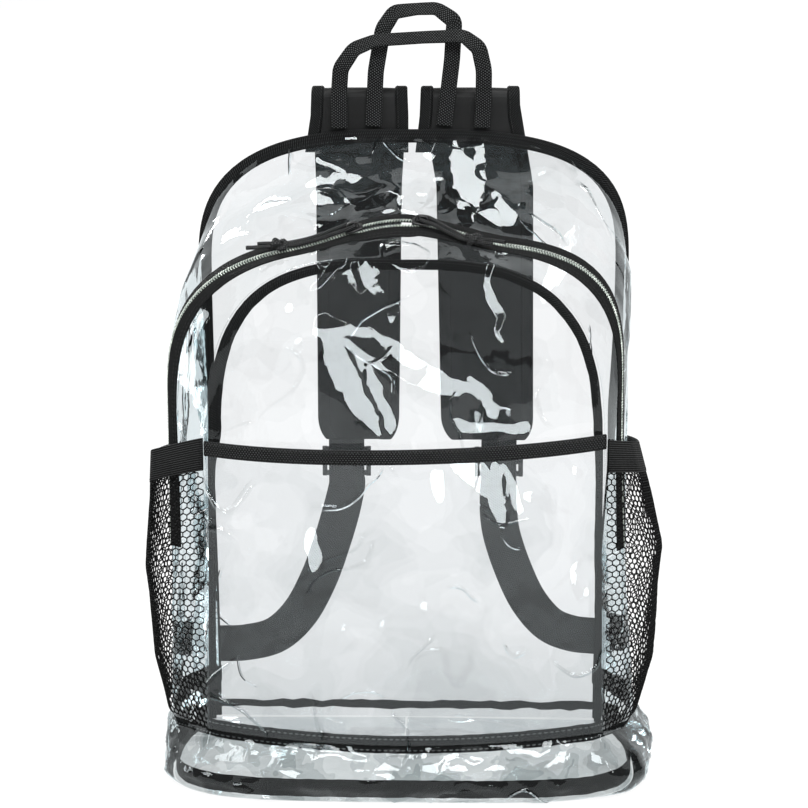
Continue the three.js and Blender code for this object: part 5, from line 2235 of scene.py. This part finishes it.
@dataclass
class HaulHandles(SubAssembly):
    """The two webbing handles that stand at the top of the back seam."""

    width: float = 11.5
    thickness: float = 2.0
    wide_lean: Triple = (-3, -8, 66)
    tall_lean: Triple = (0, 2, 84)
    wide_points: tuple[HandlePoint, ...] = table(
        HandlePoint,
        (-48, 0, 0), (-48, 24, 0), (-46.5, 43, 4), (-37, 56, 28), (-22, 61.5, 44), (12, 63.5, 46),
        (40, 65, 42), (51, 57, 16), (54.5, 42, 2), (54.5, 24, 0), (53.5, 0, 0),
    )
    tall_points: tuple[HandlePoint, ...] = table(
        HandlePoint,
        (-24, 0, 0), (-22, 40, 0), (-17, 69, 6), (-9, 81, 30), (7, 83, 46), (21, 83.5, 42),
        (33.5, 75, 12), (32, 48, 0), (26.5, 0, 0),
    )

    def handle(self, word: str, route: Sequence[HandlePoint], lean: Triple) -> None:
        """One handle: a flat webbing bent over and turned at its corners.

        Args:
            word: The handle's word in its node's name.
            route: Its points.
            lean: Its depth, how far it leans, and the height over which it does.
        """
        arch = self.shape.back
        knots = []
        for p in route:
            share = p.x / (arch.left if p.x < 0 else arch.right)
            y = arch.y + lean[0] + lean[1] * smooth(p.up / lean[2])
            knots.append(vec(p.x, y, arch.top(share) + 2 * GAP + p.up))
        line = np.array(knots)
        run, places = even_steps(line, 1.0)
        rows = np.array([between(run, line, np.clip(places + off, 0, run[-1])) for off in range(-3, 4)])
        turns = np.interp(places, run, [p.turn for p in route])
        frames = frames_along(rows.mean(axis=0), vec(0, -1, 0), turns)
        wide, thick = self.width / 2, self.thickness / 2
        tape = sweep_patch(frames, band(-wide, wide, -thick, thick, 0.8, 3))
        self.make(f"handle_{word}", [tape], self.finishes.webbing, "webbing", [f"haul_handle_{word}"])

    def build(self) -> None:
        """Makes both handles."""
        self.handle("wide", self.wide_points, self.wide_lean)
        self.handle("tall", self.tall_points, self.tall_lean)


@dataclass
class ShoulderStraps(SubAssembly):
    """The padded straps behind the back panel, with their bindings, adjusters and webbing."""

    pad: float = 5.0
    fold_radius: float = 4.8
    fold_height: float = 470.0
    sewn_height: float = 424.0
    end_height: float = 212.0
    binding: float = 9.0
    loop_width: float = 26.0
    webbing: float = 1.4
    lower_width: float = 28.0
    bar: float = 4.0
    slot: float = 5.0
    adjuster_width: float = 36.0
    adjuster_thickness: float = 3.6
    adjuster_rail: float = 3.5
    adjuster_shift: tuple[float, float] = (-9.0, 8.0)
    stitch: StitchRow = StitchRow()
    tables: tuple[tuple[StrapRow, ...], tuple[StrapRow, ...]] = (
        table(
            StrapRow,
            (-0.2, -36, 37), (-0.1, -34, 35), (0, -34, 34), (0.25, -35, 31), (0.94, -36, 30), (1, -36, 22),
        ),
        table(
            StrapRow,
            (-0.2, 46, 40), (-0.1, 45, 36), (0, 45, 35), (0.25, 56, 35), (0.94, 59, 34), (1, 60, 26),
        ),
    )
    routes: tuple[tuple[WebPoint, ...], tuple[WebPoint, ...]] = (
        table(
            WebPoint,
            (-49, 158, 17), (-56, 134, 15), (-66, 106, 12), (-80, 80, 8.5), (-98, 63, 6.5), (-120, 57, 5.2),
            (-142, 56, 4.8),
        ),
        table(
            WebPoint,
            (68, 158, 17), (71, 138, 15), (80, 112, 12), (91, 90, 8.5), (106, 73, 6.5), (123, 66, 5.2),
            (142, 64, 4.8),
        ),
    )

    @cached_property
    def front(self) -> float:
        """How far back the strap's first layer lies."""
        return self.shape.back.y + FILM / 2 + 3 * GAP + 2 * BINDING_WALL + self.pad / 2

    def line(self) -> list[Triple]:
        """The strap's side view as (y, z, share) places, over the fold and down.

        Returns:
            The places from the sewn end to the free end.
        """
        centre = self.fold_height - self.fold_radius - self.pad / 2
        rises = np.linspace(0, 1, 10)
        places = [(self.front, lerp(self.sewn_height, centre, t), 0.15 * t - 0.2) for t in rises]
        for turn in np.linspace(0, 1, 14)[1:-1] * math.pi:
            y = self.front + self.fold_radius * (1 - math.cos(turn))
            places.append((y, centre + self.fold_radius * math.sin(turn), -0.05 * (1 - turn / math.pi)))
        shares = np.concatenate([np.linspace(0.01, 0.92, 60), np.linspace(0.93, 1, 14)])
        places += [(self.front + 2 * self.fold_radius, lerp(centre, self.end_height, t), t) for t in shares]
        return places

    def frames(self, side: Side) -> tuple[list[Frame], list[float]]:
        """A strap's frames and half widths.

        Args:
            side: The side of the bag.

        Returns:
            The frames, and half the strap's width at each.
        """
        rows = side.of(self.tables)
        line = self.line()
        middles = np.array([vec(look_up(rows, share, "centre"), y, z) for y, z, share in line])
        across = vec(1, 0, 0)
        frames = []
        for middle, tangent in zip(middles, np.gradient(middles, axis=0)):
            frames.append(Frame(middle, across, np.cross(unit(tangent * vec(0, 1, 1)), across)))
        halves = []
        for _, _, share in line:
            half = look_up(rows, min(share, 0.94), "half")
            round_end = math.sqrt(max(0.0, 1 - ((share - 0.93) / 0.08) ** 2)) if share > 0.93 else 1.0
            halves.append(half * (0.62 + 0.38 * round_end))
        return frames, halves

    def strap(self, side: Side) -> None:
        """One padded strap with the bindings folded over its edges.

        Args:
            side: The side of the bag.
        """
        frames, halves = self.frames(side)
        inset, thick = BINDING_WALL + GAP, self.pad / 2

        def section(i: int) -> Array:
            """The pad's section, full in the middle, with the soft dents of thin foam."""
            dent = 0.25 * noise.noise(Vector(frames[i].origin) / 14)
            return crowned(halves[i] - inset, -thick + 0.1 + dent, thick - 0.1 + dent, 0.62, 22)

        label, cloth = side.label, self.finishes.pad
        nodes = [f"shoulder_strap_{label}"]
        pad = self.make(f"strap_{label}", [sweep_patch(frames, section)], cloth, "strap_fabric", nodes)
        for word, way in (("outer", side.value), ("inner", -side.value)):
            edge = [Frame(f.at(way * half, 0), f.across * -way, f.out) for f, half in zip(frames, halves)]
            out = thick + GAP + BINDING_WALL * 0.6
            tape = sweep_patch(edge, band(0, self.binding, -out, out, 1.7, 4))
            nodes = [f"strap_binding_{word}_{label}"]
            self.make(f"strap_edge_{word}_{label}", [tape], self.finishes.binding, "webbing", nodes)
            rows = [self.stitch.along(edge, self.binding - 1.8, face) for face in (-out, out)]
            self.sew(f"strap_{word}_{label}", rows)
        self.adjuster(side, frames[-1].origin + vec(side.of(self.adjuster_shift), 0, 0))

    def hairpin(self, middle: Array, grip: float, turn: float, end: float, width: float) -> Patch:
        """A webbing folded round a bar.

        Args:
            middle: The bar's place across and in depth.
            grip: How far each leg lies from it.
            turn: The height of the fold.
            end: The height of the legs' ends.
            width: The webbing's width.

        Returns:
            The folded webbing.
        """
        half, way = self.webbing / 2, math.copysign(1, turn - end)
        line = [vec(middle[0], middle[1] - grip, z) for z in np.linspace(end, turn - way * half, 8)]
        for angle in np.linspace(0, math.pi, 9)[1:-1]:
            z = turn + way * half * (2 * math.sin(angle) ** 0.5 - 1)
            line.append(vec(middle[0], middle[1] - grip * math.cos(angle), z))
        line += [vec(middle[0], middle[1] + grip, z) for z in np.linspace(turn - way * half, end, 8)]
        points = np.array(line)
        frames = []
        for origin, tangent in zip(points, np.gradient(points, axis=0)):
            frames.append(Frame(origin, vec(1, 0, 0), unit(np.cross(vec(1, 0, 0), unit(tangent)))))
        return sweep_patch(frames, band(-width / 2, width / 2, -half * 0.9, half * 0.9, 0.5))

    def adjuster(self, side: Side, end: Array) -> None:
        """The loop under a strap, its adjuster and the webbing to the bottom corner.

        Args:
            side: The side of the bag.
            end: The middle of the strap's end.
        """
        pitch, thick = self.bar + self.slot, self.adjuster_thickness / 2
        top = end[2] - 6 - self.bar
        wide, rail, label = self.adjuster_width / 2, self.adjuster_rail, side.label
        lows = [top - row * pitch for row in range(3)]
        bars = []
        flat = band(-self.bar / 2, self.bar / 2, -thick * 0.86, thick * 0.86, 1.2, 4)
        for low in lows:
            spots = [vec(end[0] + x, end[1], low + self.bar / 2) for x in (1 - wide, 0, wide - 1)]
            bars.append(sweep_patch([Frame(spot, vec(0, 0, 1), vec(0, 1, 0)) for spot in spots], flat))
        upright = band(-rail / 2, rail / 2, -thick, thick, 1.1, 4)
        for x in (end[0] - wide + rail / 2, end[0] + wide - rail / 2):
            spots = [vec(x, end[1], z) for z in np.linspace(lows[-1], top + self.bar, 12)]
            bars.append(sweep_patch([Frame(spot, vec(1, 0, 0), vec(0, 1, 0)) for spot in spots], upright))
        self.make(f"ladder_{label}", bars, self.finishes.plastic, "adjuster", [f"adjuster_{label}"])
        half = self.webbing / 2
        grip = thick + GAP + half
        loop = self.hairpin(end, grip, top - GAP - half, end[2] - GAP, self.loop_width)
        self.make(f"loop_{label}", [loop], self.finishes.webbing, "webbing", [f"strap_loop_{label}"])
        tail = self.hairpin(end, grip, lows[1] + self.bar + GAP + half, lows[2] - 8, self.loop_width)
        knots = [vec(end[0], end[1] + grip, lows[2] - drop) for drop in (2, 8)]
        knots += [vec(p.x, self.shape.back.y + p.out, p.z) for p in side.of(self.routes)]
        frames = frames_along(rounded_line(np.array(knots), 90), vec(0, 1, 0))

        def section(i: int) -> Array:
            """The webbing's section, which widens below the adjuster."""
            spread = lerp(self.loop_width, self.lower_width, min(1, i / 24)) / 2
            return band(-spread, spread, -half * 0.95, half * 0.95, 0.5)

        strips = [tail, sweep_patch(frames, section)]
        nodes = [f"lower_webbing_{label}"]
        self.make(f"lower_webbing_strip_{label}", strips, self.finishes.webbing, "webbing", nodes)

    def build(self) -> None:
        """Makes both straps."""
        for side in Side:
            self.strap(side)


class Lamp(NamedTuple):
    """A soft box: its place, its sides, its power and its colour."""

    place: Triple
    width: float
    height: float
    power: float
    colour: Colour


@dataclass(frozen=True)
class Studio:
    """The white sweep, the soft boxes and the camera."""

    target: Triple = (0.0, 0.0, 0.256)
    distance: float = 1.4
    azimuth: float = 1.5
    elevation: float = 11.0
    lens: float = 90.0
    sensor: float = 36.0
    room: float = 0.06
    sweep: float = 0.9
    lamps: tuple[Lamp, ...] = (
        Lamp((-1.6, -1.5, 1.1), 0.5, 1.2, 22, (0.97, 0.99, 1.0)),
        Lamp((1.7, -1.0, 0.9), 0.4, 1.2, 18, (0.97, 0.99, 1.0)),
        Lamp((0.3, -2.1, 1.5), 1.5, 0.8, 76, (0.97, 0.99, 1.0)),
        Lamp((0.1, -0.4, 2.1), 1.2, 0.7, 48, (1.0, 1.0, 1.0)),
        Lamp((-1.9, 0.4, 0.5), 0.3, 1.2, 10, (0.97, 0.99, 1.0)),
        Lamp((-0.9, 2.2, 1.3), 0.9, 0.9, 36, (1.0, 1.0, 1.0)),
    )

    def camera(self) -> None:
        """Sets the camera where the photograph was taken from."""
        a, e = math.radians(self.azimuth), math.radians(self.elevation)
        way = Vector((math.sin(a) * math.cos(e), -math.cos(a) * math.cos(e), math.sin(e)))
        target = Vector(self.target)
        made = bpy.data.objects.new("camera", bpy.data.cameras.new("camera"))
        made.data.lens = self.lens
        made.data.sensor_width = self.sensor
        made.location = target + way * self.distance
        made.rotation_euler = (-way).to_track_quat("-Z", "Y").to_euler()
        bpy.context.scene.collection.objects.link(made)
        bpy.context.scene.camera = made

    def floor(self) -> None:
        """Lays the white floor, which curves up behind the bag as a studio sweep does."""
        flat, bend = 1.6, 1.2
        turns = np.linspace(0, math.pi / 2, 12)[1:]
        line = [(-6.0, 0.0), (flat, 0.0)]
        line += [(flat + bend * math.sin(turn), bend * (1 - math.cos(turn))) for turn in turns]
        line.append((flat + bend, 6.0))
        points = [(x, y, z - 0.0002) for y, z in line for x in (-7.0, 7.0)]
        faces = [(2 * i, 2 * i + 1, 2 * i + 3, 2 * i + 2) for i in range(len(line) - 1)]
        mesh = bpy.data.meshes.new("sweep")
        mesh.from_pydata(points, [], faces)
        graph = Graph("sweep_paper")
        grain = graph.blend(graph.noise(3, 2), (0.10, 0.10, 0.10), (0.12, 0.12, 0.12))
        paper = graph.node("BsdfDiffuse", {"Color": grain})
        glow = graph.node("Emission", {"Color": (1, 1, 1, 1), "Strength": self.sweep})
        both = graph.node("AddShader", {0: paper.outputs[0], 1: glow.outputs[0]})
        mesh.materials.append(graph.finish(both.outputs[0]))
        made = bpy.data.objects.new("sweep", mesh)
        bpy.context.scene.collection.objects.link(made)

    def light(self) -> None:
        """Hangs the soft boxes in an even grey room."""
        scene = bpy.context.scene
        scene.world = bpy.data.worlds.new("room")
        scene.world.use_nodes = True
        tree = scene.world.node_tree
        back = tree.nodes["Background"]
        back.inputs[0].default_value = (1.0, 1.0, 1.0, 1.0)
        seen = tree.nodes.new("ShaderNodeLightPath")
        level = tree.nodes.new("ShaderNodeMapRange")
        level.inputs[3].default_value, level.inputs[4].default_value = self.room, 1.0
        tree.links.new(seen.outputs["Is Camera Ray"], level.inputs[0])
        tree.links.new(level.outputs[0], back.inputs[1])
        for number, lamp in enumerate(self.lamps):
            name = f"soft_box_{number}"
            made = bpy.data.objects.new(name, bpy.data.lights.new(name, "AREA"))
            made.data.shape = "RECTANGLE"
            made.data.size, made.data.size_y = lamp.width, lamp.height
            made.data.energy, made.data.color = lamp.power, lamp.colour
            made.location = lamp.place
            way = Vector(self.target) - Vector(lamp.place)
            made.rotation_euler = way.to_track_quat("-Z", "Y").to_euler()
            scene.collection.objects.link(made)
        scene.view_settings.view_transform = "Standard"
        scene.cycles.transparent_max_bounces = 40
        scene.cycles.max_bounces = 5
        scene.cycles.diffuse_bounces = 2


def main() -> None:
    """Builds the studio and every sub-assembly of the bag."""
    logging.basicConfig(level=logging.INFO, format="%(name)s %(message)s")
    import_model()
    noise.seed_set(NOISE_SEED)
    studio = Studio()
    studio.camera()
    studio.floor()
    studio.light()
    shape, finishes = BagShape(), Finishes()
    panels = FilmPanels(shape, finishes)
    assemblies = [
        panels,
        Bindings(shape, finishes, panels=panels),
        ZipChain(shape, finishes),
        NetPockets(shape, finishes),
        HaulHandles(shape, finishes),
        ShoulderStraps(shape, finishes),
    ]
    for assembly in assemblies:
        assembly.build()
        assembly.report()


if __name__ == "__main__":
    main()
